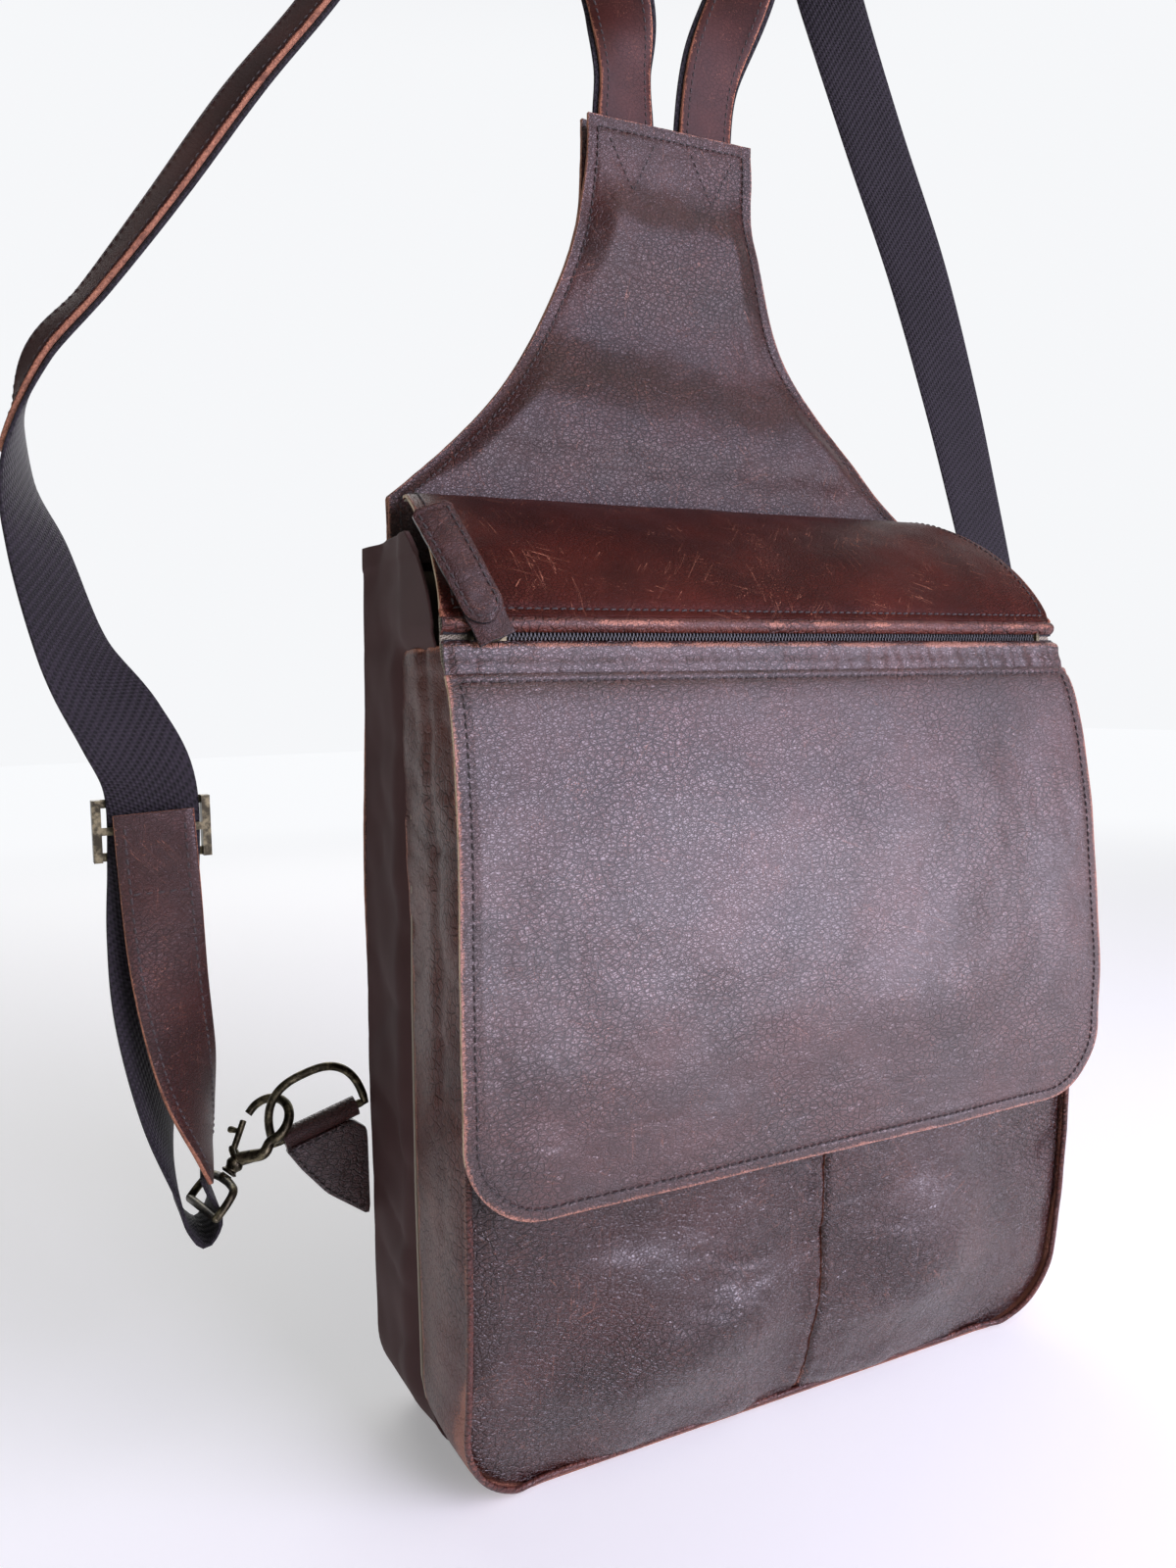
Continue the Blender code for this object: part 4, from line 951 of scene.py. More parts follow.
def back_half_width(z):
    """Half the width of the back panel, from its rounded base to its square shoulders and the yoke."""
    body = BODY_HALF_WIDTH - 0.5 * MM
    drop = np.clip(CORNER_RADIUS + 0.5 * MM - z, 0, CORNER_RADIUS)
    rounded = body - CORNER_RADIUS + np.sqrt(np.maximum(0, CORNER_RADIUS ** 2 - drop ** 2))
    narrow = (body - REAR_TOP_HALF_WIDTH) * smooth(z, 210 * MM, REAR_TOP)
    low = rounded - narrow
    step = smooth(z, REAR_TOP - 1 * MM, YOKE_STEP + 2 * MM)
    return np.where(z < YOKE_BASE, low + (YOKE_BASE_HALF_WIDTH - low) * step, yoke_half_width(z))


def yoke_wave(x, z):
    """Gentle waves of the yoke, towards the front."""
    tall = smooth(z, YOKE_BASE + 4 * MM, YOKE_BASE + 30 * MM)
    tall = tall * (1 - smooth(z, YOKE_TOP - 50 * MM, YOKE_TOP - 12 * MM))
    wave = (5.0 * np.cos(2 * np.pi * (z - 405 * MM + 0.08 * x) / (88 * MM)) - 1.6) * tall
    wave = wave + 0.9 * waves(x, z, 36 * MM, 31) * tall
    return wave * MM


def add_yoke_and_back():
    def front(x, z):
        half = yoke_half_width(z)
        edge = np.clip(half - np.abs(x), 0, 1)
        pinch = 1 - smooth(edge, 0, 17 * MM)
        pinch = pinch * (1 - smooth(z, YOKE_TOP - 40 * MM, YOKE_TOP - 15 * MM))
        fine = 0.25 * waves(x, z, 13 * MM, 33) - 0.22 * folds(x, z, 9 * MM, 34)
        foot = 2.6 * MM * (1 - smooth(z, YOKE_BASE + 3 * MM, YOKE_BASE + 20 * MM))
        y = YOKE_Y + np.maximum(4.4 * MM * pinch, foot) - (yoke_wave(x, z) + fine * MM) * (1 - 0.5 * pinch)
        return points_of(x, y, z)

    def back(x, z):
        half = back_half_width(z)
        edge = np.clip(half - np.abs(x), 0, 1)
        pillow = 1.5 * MM * smooth(edge, 0, 26 * MM) * smooth(z, 0, 26 * MM)
        pillow = pillow * (1 - smooth(z, 330 * MM, 352 * MM))
        rise = 0.35 * waves(x, z, 40 * MM, 41) + 0.25 * waves(x, z, 15 * MM, 42)
        rise = rise - 0.3 * folds(x, z, 12 * MM, 43)
        above = smooth(z, YOKE_BASE, YOKE_BASE + 25 * MM)
        y = BACK_Y - 0.3 * MM + pillow + rise * MM - 0.55 * yoke_wave(x, z) * above
        y = y - 1.0 * MM * (1 - smooth(edge, 0, 14 * MM)) * above
        return points_of(x, y, z)

    def panel_grid(half, heights):
        """Grid of a panel, the distance of its points from the rim, and the groove of its seam."""
        u, v = rows_of(heights, half[:, None] * shares[None, :])
        edge = np.minimum(half[:, None] - np.abs(u), YOKE_TOP - v)
        return u, v, edge, -0.35 * MM * ridge(edge, STITCH_INSET, 1.1)

    def side_seam(heights):
        """Distance of the yoke's side seams from its middle."""
        slope = np.gradient(yoke_half_width(heights), heights)
        return yoke_half_width(heights) - inset * np.sqrt(1 + slope ** 2)

    front_surface, back_surface = Surface(front), Surface(back, side=-1)
    heights = spread(348 * MM, YOKE_TOP, 2.2 * MM, 0.9 * MM, 8 * MM)
    shares = np.linspace(-1, 1, 91)
    shares = shares + 0.06 * np.sin(np.pi * shares)
    u, v, edge, groove = panel_grid(yoke_half_width(heights), heights)
    wear = 0.75 * fade(edge, 1.3) + 0.2 * smooth(u, 40 * MM, 90 * MM) * fade(edge, 12)
    piece = sheet_piece("yoke_front_leather", front_surface, u, v, 1.7 * MM, ["yoke_leather", "tan_edge"],
                        "bag", lift=groove, wear=wear)
    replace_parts(piece, "yoke_facing", "yoke_stiffener")

    heights = spread(0.5 * MM, YOKE_TOP, 2.6 * MM, 0.9 * MM, 8 * MM)
    heights = np.unique(np.concatenate([heights, spread(350 * MM, 378 * MM, 1.2 * MM)]))
    u, v, edge, groove = panel_grid(back_half_width(heights), heights)
    wear = 0.75 * fade(edge, 1.3)
    piece = sheet_piece("back_leather", back_surface, u, v, 1.7 * MM, ["leather", "tan_edge"], "bag",
                        lift=groove, wear=wear)
    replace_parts(piece, "back_panel")

    runs, inset = [], STITCH_INSET
    rise = spread(352 * MM, YOKE_TOP - inset, 2 * MM)
    top = spread(-YOKE_TOP_HALF_WIDTH + inset, YOKE_TOP_HALF_WIDTH - inset, 2 * MM)
    for _, sign in SIDES:
        runs.append(front_surface.at(sign * side_seam(rise), rise, 0.0))
        peak = [(sign * 20 + dx) * MM for dx in (-11, 0, 11)]
        foot = [YOKE_TOP - 8 * MM, YOKE_TOP - 29 * MM, YOKE_TOP - 8 * MM]
        for a, b in ((0, 1), (1, 2)):
            share = np.linspace(0, 1, 12)
            runs.append(front_surface.at(peak[a] + (peak[b] - peak[a]) * share,
                                         foot[a] + (foot[b] - foot[a]) * share))
    runs.append(front_surface.at(top, YOKE_TOP - inset, 0.0))
    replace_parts(stitches("yoke_stitches", runs, "bag"), "yoke_facing")

    rise = spread(CORNER_RADIUS, 350 * MM, 3 * MM)
    high = spread(YOKE_BASE + 2 * MM, YOKE_TOP - inset, 2 * MM)
    runs = []
    for _, sign in SIDES:
        runs.append(back_surface.at(sign * (back_half_width(rise) - inset), rise))
        runs.append(back_surface.at(sign * side_seam(high), high))
        turn = np.linspace(0, np.pi / 2, 16)
        curve = CORNER_RADIUS - inset
        centre = BODY_HALF_WIDTH - 0.5 * MM - CORNER_RADIUS
        runs.append(back_surface.at(sign * (centre + curve * np.sin(turn)),
                                    CORNER_RADIUS - curve * np.cos(turn)))
    runs.append(back_surface.at(spread(-centre, centre, 3 * MM), inset))
    runs.append(back_surface.at(top, YOKE_TOP - inset))
    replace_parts(stitches("back_stitches", runs, "bag"), "back_panel")


# ---- flap ----------------------------------------------------------------------------------


class FlapShape:
    """Profile of the flap, with its half width and its soft waves."""

    def __init__(self):
        line = catmull(np.array(FLAP_PROFILE) * MM, 120)
        self.y, self.z = line[:, 0], line[:, 1]
        self.far = lengths(line)
        self.end = self.far[-1]

    def at_height(self, z):
        return float(np.interp(-z, -self.z, self.far))

    def half_width(self, s, inset=0.0):
        zip_far = self.at_height(ZIP_Z)
        above = (FLAP_ZIP_HALF_WIDTH - FLAP_REAR_HALF_WIDTH) * np.clip(s / zip_far, 0, 1) ** 0.7
        z = np.interp(s, self.far, self.z)
        below = (FLAP_HALF_WIDTH - FLAP_ZIP_HALF_WIDTH) * np.clip((ZIP_Z - z) / (ZIP_Z - 177 * MM), 0, 1)
        wide = FLAP_REAR_HALF_WIDTH + above + below - inset
        curve = FLAP_CORNER - inset
        drop = np.clip(s - (self.end - FLAP_CORNER), 0, curve)
        return wide - curve + np.sqrt(np.maximum(0, curve ** 2 - drop ** 2))

    def half_at(self, s):
        """The same half width at one place, as a number."""
        return float(self.half_width(np.array([s]))[0])

    def edge(self, x, s):
        """Distance in from the flap's free edges."""
        wide = self.half_width(np.minimum(s, self.end - FLAP_CORNER))
        over_x = np.abs(x) - (wide - FLAP_CORNER)
        over_s = s - (self.end - FLAP_CORNER)
        corner = FLAP_CORNER - np.hypot(np.maximum(over_x, 0), np.maximum(over_s, 0))
        straight = np.minimum(wide - np.abs(x), self.end - s)
        return np.where((over_x > 0) & (over_s > 0), corner, straight)

    def place(self, x, s):
        y, z = np.interp(s, self.far, self.y), np.interp(s, self.far, self.z)
        ahead_y, ahead_z = np.interp(s + MM, self.far, self.y), np.interp(s + MM, self.far, self.z)
        behind_y, behind_z = np.interp(s - MM, self.far, self.y), np.interp(s - MM, self.far, self.z)
        along = unit(np.stack([ahead_y - behind_y, ahead_z - behind_z], axis=-1))
        zip_far = self.at_height(ZIP_Z)
        front = smooth(s, zip_far + 16 * MM, zip_far + 60 * MM)
        rear = smooth(s, 0, 25 * MM) * (1 - smooth(s, zip_far - 30 * MM, zip_far - 8 * MM))
        edge = self.edge(x, s)
        lift = front * (1.3 * waves(x, s, 62 * MM, 51) + 0.5 * waves(x, s, 24 * MM, 52))
        lift = lift + front * 1.2 * hill(x, s, -122 * MM, self.at_height(137 * MM), 12 * MM, 12 * MM)
        lift = lift + front * 0.9 * hill(x, s, 122 * MM, self.at_height(137 * MM), 12 * MM, 12 * MM)
        lift = lift + rear * (0.9 * waves(x, s, 45 * MM, 54) + 0.3 * waves(x, s, 15 * MM, 55))
        lift = lift - front * 0.18 * folds(x, s, 9 * MM, 56) * smooth(edge, 3 * MM, 12 * MM)
        lift = lift - 0.8 * (1 - smooth(edge, 0, 6 * MM))
        out = lift * MM
        return points_of(x, y + along[..., 1] * out, z - along[..., 0] * out)


def plain_rim(piece, hidden):
    """Gives the rim the skin's own finish where hidden says so."""
    for face in piece.data.polygons:
        if face.material_index == 1 and hidden(face.center):
            face.material_index = 0


def across_grid(half, columns, pull=0.05):
    """Places across the flap, closer together at its edges."""
    shares = np.linspace(-1, 1, columns)
    shares = shares + pull * np.sin(np.pi * shares)
    return half[:, None] * shares[None, :]


def add_flap():
    flap = FlapShape()
    surface = Surface(flap.place, side=-1)
    zip_far = flap.at_height(ZIP_Z)
    fold = flap.at_height(FLAP_FOLD_Z)
    fold_point = Vector((0, np.interp(fold, flap.far, flap.y), FLAP_FOLD_Z))
    ahead = Vector((0, np.interp(fold + MM, flap.far, flap.y), np.interp(fold + MM, flap.far, flap.z)))
    along = (ahead - fold_point).normalized()
    bend = ("flap_rear", "flap_front", tuple(fold_point - along * 14 * MM),
            tuple(fold_point + along * 14 * MM))
    leather_thick, stack = 1.5 * MM, 4.4 * MM

    def groove(s, at, wide=1.1 * MM, deep=0.4 * MM):
        return -deep * np.exp(-((s - at) / wide) ** 2)

    # Shoulder, from the rear seam over the crest to just above the zip
    low = zip_far - 7.0 * MM
    s = spread(0, low, 2.0 * MM, 0.8 * MM, 5 * MM)
    u, v = rows_of(s, across_grid(flap.half_width(s), 120))
    edge = flap.edge(u, v)
    lift = groove(edge, STITCH_INSET) + groove(v, low - 3.2 * MM)
    lift = lift + 0.35 * MM * smooth(v, low - 2.4 * MM, low - 1.2 * MM)
    wear = 0.8 * fade(edge, 2.2) + 0.35 * fade(low - v, 2)
    piece = sheet_piece("flap_shoulder_skin", surface, u, v, leather_thick,
                        ["shoulder_leather", "cream_edge"], bend, lift=lift, wear=wear)
    plain_rim(piece, lambda middle: middle.z < ZIP_Z + 9 * MM)
    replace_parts(piece, "flap_top_leather", "flap_shoulder_leather")

    # Rolled lip above the zip and wrinkled band below it
    s = spread(low - 1.5 * MM, zip_far - 1.3 * MM, 0.55 * MM)
    u, v = rows_of(s, across_grid(flap.half_width(s) - 0.4 * MM, 200))
    share = (v - s[0]) / (s[-1] - s[0])
    roll = 2.6 * np.sin(np.pi * np.clip(share, 0, 1)) - 1.4 * smooth(share, 0.8, 1.0)
    lift = (roll - 1.5 + 0.25 * waves(u, v, 7 * MM, 61)) * MM
    wear = 0.6 * np.exp(-((share - 0.55) / 0.22) ** 2) + 0.35 * waves(u, v, 12 * MM, 62)
    piece = sheet_piece("zip_lip_skin", surface, u, v, 1.0 * MM, ["gusset_leather"], "flap_front",
                        lift=lift, wear=np.clip(wear, 0, 1), round_off=0.3 * MM)
    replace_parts(piece, "zip_upper_lip")

    seam = zip_far + 13.4 * MM
    s = spread(zip_far + 1.4 * MM, seam + 1.6 * MM, 0.7 * MM)
    u, v = rows_of(s, across_grid(flap.half_width(s) - 0.3 * MM, 220))
    share = (v - s[0]) / (seam - s[0])
    ripple = 0.45 * waves(u, v * 0.25, 5.5 * MM, 63) + 0.3 * waves(u, v * 0.4, 2.6 * MM, 64)
    lift = (-1.9 * (1 - smooth(share, 0.0, 0.16)) - 1.0 * smooth(share, 0.72, 1.0)
            + 0.7 * np.exp(-((share - 0.24) / 0.14) ** 2) + ripple * smooth(share, 0.1, 0.4)) * MM
    # Paler rub along the band's rolled top edge: partly real wear, partly a painted highlight standing in
    # for the sheen it catches.
    wear = 0.8 * np.exp(-((share - 0.16) / 0.14) ** 2) + 0.3 * waves(u, v, 15 * MM, 65)
    piece = sheet_piece("zip_band_skin", surface, u, v, 1.0 * MM, ["leather"], "flap_front",
                        lift=lift, wear=np.clip(wear, 0, 1), round_off=0.3 * MM)
    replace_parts(piece, "zip_lower_band")

    # Front leather, lining and the edge where they meet
    s = spread(seam, flap.end, 2.0 * MM, 0.8 * MM, 8 * MM)
    s = np.unique(np.concatenate([s, spread(flap.end - FLAP_CORNER, flap.end, 0.9 * MM)]))
    u, v = rows_of(s, across_grid(flap.half_width(s), 150))
    edge = flap.edge(u, v)
    lift = groove(edge, STITCH_INSET) + groove(v, seam + 3.4 * MM)
    lift = lift - 0.9 * MM * fade(v - seam, 0.9) + 0.3 * MM * ridge(v, seam, 2.2)
    wear = 0.9 * fade(edge, 2.2) + 0.4 * fade(v - seam, 1.6)
    piece = sheet_piece("flap_front_skin", surface, u, v, leather_thick, ["leather", "cream_edge"],
                        "flap_front", lift=lift, wear=wear)
    plain_rim(piece, lambda middle: middle.z < FLAP_BOTTOM + 25 * MM or middle.x > 0)
    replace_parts(piece, "flap_front_leather")

    s = spread(1 * MM, flap.end - 0.4 * MM, 2.6 * MM, 1.2 * MM, 9 * MM)
    s = np.unique(np.concatenate([s, spread(flap.end - FLAP_CORNER, flap.end - 0.4 * MM, 1.2 * MM)]))
    u, v = rows_of(s, across_grid(flap.half_width(s, 0.5 * MM), 110))
    edge = np.clip(flap.edge(u, v), 0, 1)
    depth = leather_thick + 0.1 * MM + (stack - 0.8 * MM - leather_thick) * smooth(edge, 0, 11 * MM)
    by_zip = 1 - smooth(np.abs(v - zip_far), 9 * MM, 12 * MM)
    depth = np.maximum(depth, 3.4 * MM * by_zip)
    piece = sheet_piece("flap_lining_cloth", surface, u, v, 0.8 * MM, ["lining"], bend,
                        lift=-depth, round_off=0.3 * MM)
    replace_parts(piece, "flap_top_lining", "flap_front_lining", "flap_pocket_bag")

    add_flap_stitches(flap, surface, low, seam, bend)
    add_zip(flap, zip_far)


def add_flap_stitches(flap, surface, low, seam, bend):
    inset = STITCH_INSET
    rise = spread(3 * MM, low - 4 * MM, 2 * MM)
    runs = [surface.at(sign * (flap.half_width(rise) - inset), rise, -0.1 * MM) for _, sign in SIDES]
    wide = flap.half_at(low) - inset
    runs.append(surface.at(spread(-wide, wide, 2 * MM), low - 3.2 * MM, -0.1 * MM))
    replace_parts(stitches("flap_shoulder_stitches", runs, bend), "flap_shoulder_leather")
    straight = spread(seam + 4 * MM, flap.end - FLAP_CORNER, 2 * MM)
    turn = np.linspace(0, np.pi / 2, 24)[1:]
    curve = FLAP_CORNER - inset
    centre = flap.half_at(flap.end - FLAP_CORNER) - FLAP_CORNER
    x = np.concatenate([flap.half_width(straight) - inset, centre + curve * np.cos(turn)])
    s = np.concatenate([straight, flap.end - FLAP_CORNER + curve * np.sin(turn)])
    bottom = np.linspace(centre, -centre, 130)[1:-1]
    x = np.concatenate([x, bottom, -x[::-1]])
    s = np.concatenate([s, np.full(len(bottom), flap.end - inset), s[::-1]])
    runs = [surface.at(x, s, -0.1 * MM)]
    wide = flap.half_at(seam + 3.4 * MM) - inset
    runs.append(surface.at(spread(-wide, wide, 2 * MM), seam + 3.4 * MM, -0.1 * MM))
    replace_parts(stitches("flap_front_stitches", runs, "flap_front"), "flap_front_leather")


def add_zip(flap, zip_far):
    """Woven tapes and interlocked teeth in the slot; the stop at each end is the imported model's own part.
    """
    flat = Surface(lambda x, s: points_of(x, np.interp(s, flap.far, flap.y),
                                          np.interp(s, flap.far, flap.z)), side=-1)
    half = ZIP_HALF_LENGTH
    for name, start, end in (("upper", -7.5, -1.0), ("lower", 1.0, 8.0)):
        s = spread(zip_far + start * MM, zip_far + end * MM, 1.2 * MM)
        wide = flap.half_at(zip_far) - 1.5 * MM
        u, v = np.meshgrid(spread(-wide, wide, 3 * MM), s, indexing="ij")
        piece = sheet_piece("zip_cloth_" + name, flat, u, v, 0.5 * MM, ["zip_tape"], "flap_front",
                            lift=-2.2 * MM, round_off=0)
        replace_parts(piece, "zip_tape_" + name)
        sign = -1 if name == "upper" else 1
        pitch = 1.5 * MM
        verts, faces = [], []
        block = grid_faces(4, 6, closed=True)
        for k in range(int(2 * half / pitch)):
            x = -half + (k + (0.5 if sign > 0 else 0.0)) * pitch
            for reach, size in ((-0.55, 0.75), (-0.2, 0.95), (0.5, 0.9), (1.3, 0.45)):
                centre, outward = flat.at(x, zip_far + sign * (0.9 - reach) * MM, -1.55 * MM)
                for i in range(6):
                    turn = 2 * math.pi * i / 6
                    sideways = np.array([math.cos(turn) * 0.55 * MM * size, 0, 0])
                    verts.append(centre + sideways + outward * math.sin(turn) * 0.8 * MM * size)
            start_at = k * 24
            faces.extend((block + start_at).tolist())
            faces.append([start_at + i for i in range(6)])
            faces.append([start_at + 18 + i for i in range(6)])
        piece = new_piece("zip_chain_" + name, verts, faces, ["zip"], "flap_front")
        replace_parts(piece, "zip_teeth_" + name)


def add_pull_tab(flap_y):
    """Ring and the folded, stitched leather tab; the slider is the imported model's own part."""
    pivot = Vector((-125 * MM, flap_y + 0.5 * MM - 4.4 * MM, ZIP_Z - 1 * MM))
    lean = Vector((-0.32, 0.36, 0.88)).normalized()
    across = Vector((0.94, 0, 0.34)).normalized()
    across = (across - lean * across.dot(lean)).normalized()
    face = across.cross(lean).normalized()
    face = -face if face.y > 0 else face
    pivot, lean, across, face = [np.array(v) for v in (pivot, lean, across, face)]
    turn = np.linspace(0, 2 * np.pi, 48, endpoint=False)
    sideways, rise = 4.6 * MM * np.cos(turn), (4.4 + 4.9 * np.sin(turn)) * MM
    ring = pivot + across * sideways[:, None] + lean * rise[:, None]
    piece = wire_piece("zip_ring", [(ring, 0.85 * MM, True)], "brass", "pull_tab")
    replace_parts(piece, "zip_slider_ring")

    def tongue(a, b):
        curl = 1.2 * MM * np.sin(np.clip(b / (52 * MM), 0, 1) * np.pi) - 0.5 * MM * (a / (7 * MM)) ** 2
        wrinkle = 0.25 * MM * waves(a, b, 6 * MM, 71)
        lift = 1.6 * MM + 1.7 * MM + curl + wrinkle
        return pivot + across * a[..., None] + lean * b[..., None] + face * lift[..., None]

    surface = Surface(tongue)
    test = surface.at(0.0, 20 * MM)[1]
    surface.side = 1 if test.dot(face) > 0 else -1
    start, end, half = 5.0 * MM, 51 * MM, 7.6 * MM
    b = spread(start, end, 1.0 * MM, 0.4 * MM, 5 * MM)
    low = half * np.sqrt(np.clip(1 - (np.clip(start + half - b, 0, half) / half) ** 2, 0.03, 1))
    high = half - 1.8 * MM * smooth(b, end - 2.5 * MM, end) ** 2
    u, v = rows_of(b, np.minimum(low, high)[:, None] * np.linspace(-1, 1, 25)[None, :])
    edge = np.minimum(np.minimum(low, high)[:, None] - np.abs(u), end - v)
    wear = 0.6 * fade(edge, 1.0)
    lift = -0.3 * MM * ridge(edge, 2.2 * MM, 0.7) - 0.4 * MM * fade(edge, 0.6)
    upper = sheet_piece("pull_tab_top", surface, u, v, 1.6 * MM, ["strap_leather", "zip"], "pull_tab",
                        lift=lift, wear=wear)
    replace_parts(upper, "zip_pull_tab")
    b = spread(-1.0 * MM, end - 0.8 * MM, 1.0 * MM, 0.4 * MM, 4 * MM)
    u, v = rows_of(b, (half - 0.3 * MM) * np.ones(len(b))[:, None] * np.linspace(-1, 1, 21)[None, :])
    under = sheet_piece("pull_tab_under", surface, u, v, 1.5 * MM, ["strap_leather", "zip"], "pull_tab",
                        lift=-1.75 * MM + 0 * u, wear=0.35)
    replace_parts(under, "zip_pull_tab")
    inset = 2.2 * MM
    turn = np.linspace(0, np.pi, 16)
    rise = spread(start + half, end - 2 * MM, 2 * MM)
    x = np.concatenate([np.full(len(rise), half - inset), (half - inset) * np.cos(turn),
                        np.full(len(rise), inset - half)])
    y = np.concatenate([rise[::-1], start + half - (half - inset) * np.sin(turn), rise])
    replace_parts(stitches("pull_tab_stitches", [surface.at(x, y, -0.05 * MM)], "pull_tab"), "zip_pull_tab")


# ---- straps --------------------------------------------------------------------------------


def on_right(point):
    """Mirror image of a place on the left strap end, moved in and back where the strap is high."""
    high = max(0.0, min(1.0, (point.z - 110 * MM) / (130 * MM)))
    return Vector((-point.x - (10 + 9 * high) * MM, point.y + (4 + 36 * high) * MM, point.z))


def mirrored(stations):
    """Route of the right strap end, from the left one."""
    found = []
    for place, face in stations:
        moved = on_right(Vector(place) * MM) / MM
        found.append((tuple(moved), (-face[0], face[1], face[2])))
    return found


class Ribbon:
    """Flat strap along a route: distances along it and across it give places."""

    def __init__(self, stations, steps=ROUTE_STEPS):
        self.line = catmull(np.array([p for p, _ in stations]) * MM, steps)
        faces = catmull([np.array(n) / np.linalg.norm(n) for _, n in stations], steps)
        along = unit(np.gradient(self.line, axis=0))
        self.face = unit(faces - along * np.sum(faces * along, axis=1, keepdims=True))
        self.side = np.cross(along, self.face)
        self.far = lengths(self.line)
        self.length = self.far[-1]

    def read(self, table, s):
        return np.stack([np.interp(s, self.far, table[:, k]) for k in range(3)], axis=-1)

    def at(self, a, s, lift):
        a, s, lift = np.broadcast_arrays(np.asarray(a, float), np.asarray(s, float),
                                         np.asarray(lift, float))
        face = unit(self.read(self.face, s))
        side = unit(self.read(self.side, s))
        return self.read(self.line, s) + side * a[..., None] + face * lift[..., None], face


def strip(name, ribbon, start, end, width, low, thick, finishes, body, wear_edges=0.0, crown=0.3 * MM,
          step=2.5 * MM):
    """Strap piece with rounded edges between two distances along a ribbon."""
    section = []
    half = width / 2
    corner = min(thick * 0.45, 0.7 * MM)
    tops = np.linspace(-half + corner, half - corner, 11)
    section += [(x, low + thick + crown * (1 - (x / half) ** 2), 0) for x in tops]
    section += [(half - corner * 0.3, low + thick - corner * 0.3, 1), (half, low + thick - corner, 1),
                (half, low + corner, 1), (half - corner * 0.3, low + corner * 0.3, 1)]
    section += [(x, low, 0) for x in tops[::-2]]
    section += [(-half + corner * 0.3, low + corner * 0.3, 1), (-half, low + corner, 1),
                (-half, low + thick - corner, 1), (-half + corner * 0.3, low + thick - corner * 0.3, 1)]
    a, lift, rim = [np.array(column) for column in zip(*section)]
    s = spread(start, end, step)
    u, v = np.meshgrid(s, a, indexing="ij")
    points, _ = ribbon.at(v, u, np.broadcast_to(lift, v.shape))
    rows, columns = v.shape
    faces = grid_faces(rows, columns, closed=True)
    caps = [list(range(columns)), list(range((rows - 1) * columns, rows * columns))]
    face_rim = np.tile(np.minimum(rim, np.roll(rim, -1)) + 0, rows - 1)
    kinds = np.concatenate([face_rim, [1, 1]]) if len(finishes) > 1 else None
    wear = wear_edges * np.exp(-(half - np.abs(v)) / (1.6 * MM))
    uv = np.stack([v + np.where(lift < low + thick * 0.5, 0.04, 0.0)[None, :], u], axis=-1).reshape(-1, 2)
    return new_piece(name, points.reshape(-1, 3), faces.tolist() + caps, finishes, body, uv,
                     wear.reshape(-1), kinds)


def add_straps():
    for side, stations in (("left", LEFT_STRAP), ("right", RIGHT_STRAP)):
        loop = LEFT_LOOP if side == "left" else mirrored(LEFT_LOOP)
        end = LEFT_END if side == "left" else mirrored(LEFT_END)
        ribbon = Ribbon(stations + loop)
        half_web = WEBBING_THICKNESS / 2
        piece = strip("webbing_" + side, ribbon, 0, ribbon.length, WEBBING_WIDTH, -half_web,
                      WEBBING_THICKNESS,
                      ["webbing"], "bag", crown=0)
        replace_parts(piece, "strap_webbing_" + side)
        stop = STRAP_LEATHER_SHARE[side] * ROUTE_STEPS
        last = float(ribbon.far[int(stop)]) - 3 * MM
        low = half_web + 0.1 * MM
        piece = strip("strap_leather_skin_" + side, ribbon, 0, last, STRAP_WIDTH, low, STRAP_LEATHER,
                      ["strip_leather", "tan_edge"], "bag", 0.9)
        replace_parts(piece, "strap_leather_" + side)
        run = spread(6 * MM, last - 4 * MM, 2.5 * MM)
        inset = STRAP_WIDTH / 2 - 3.4 * MM
        top = low + STRAP_LEATHER + 0.12 * MM
        runs = [ribbon.at(x, run, top) for x in (-inset, inset)]
        runs.append(ribbon.at(spread(-inset, inset, 2 * MM), last - 4 * MM, top))
        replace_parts(stitches("strap_stitches_" + side, runs, "bag"), "strap_leather_" + side)

        tail = Ribbon(end, 120)
        tail_end = tail.length - TAIL_TRIM[side]
        piece = strip("strap_tail_leather_" + side, tail, 0, tail_end, STRAP_WIDTH, 0, STRAP_LEATHER,
                      ["strap_leather", "tan_edge"], "bag", 0.6)
        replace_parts(piece, "strap_end_leather_" + side)
        run = spread(4 * MM, tail_end - 3 * MM, 2.5 * MM)
        runs = [tail.at(x, run, STRAP_LEATHER + 0.12 * MM) for x in (-inset, inset)]
        runs.append(tail.at(spread(-inset, inset, 2 * MM), 27 * MM, STRAP_LEATHER + 0.25 * MM))
        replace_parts(stitches("strap_tail_stitches_" + side, runs, "bag"), "strap_end_leather_" + side)


# ---- fittings ------------------------------------------------------------------------------


def ring_frame(side):
    """Middle of the D-ring's bar, direction along it and direction of its height."""
    low, high = RING_BAR_LOW.copy(), RING_BAR_HIGH.copy()
    if side == "right":
        low.x, high.x = -low.x, -high.x
    along = (high - low).normalized()
    upright = Vector((-along.z, 0, along.x))
    if upright.z < 0:
        upright = -upright
    upright = upright * math.cos(RING_TILT) + Vector((0, -1, 0)) * math.sin(RING_TILT)
    return (low + high) / 2, along, upright


def hook_axes(side):
    """Bar of the swivel loop, held point, long direction, opening side and the hook plane's normal."""
    middle, along, upright = ring_frame(side)
    outward = -1 if side == "left" else 1
    reach = along if along.x * outward > 0 else -along
    held = middle + reach * 19 * MM + upright * 11.5 * MM
    bar = HOOK_BAR if side == "left" else on_right(HOOK_BAR)
    long_way = (held - bar).normalized()
    wire = upright * 0.86 - reach * 0.5
    normal = (wire - long_way * wire.dot(long_way)).normalized()
    return bar, held, long_way, long_way.cross(normal), normal


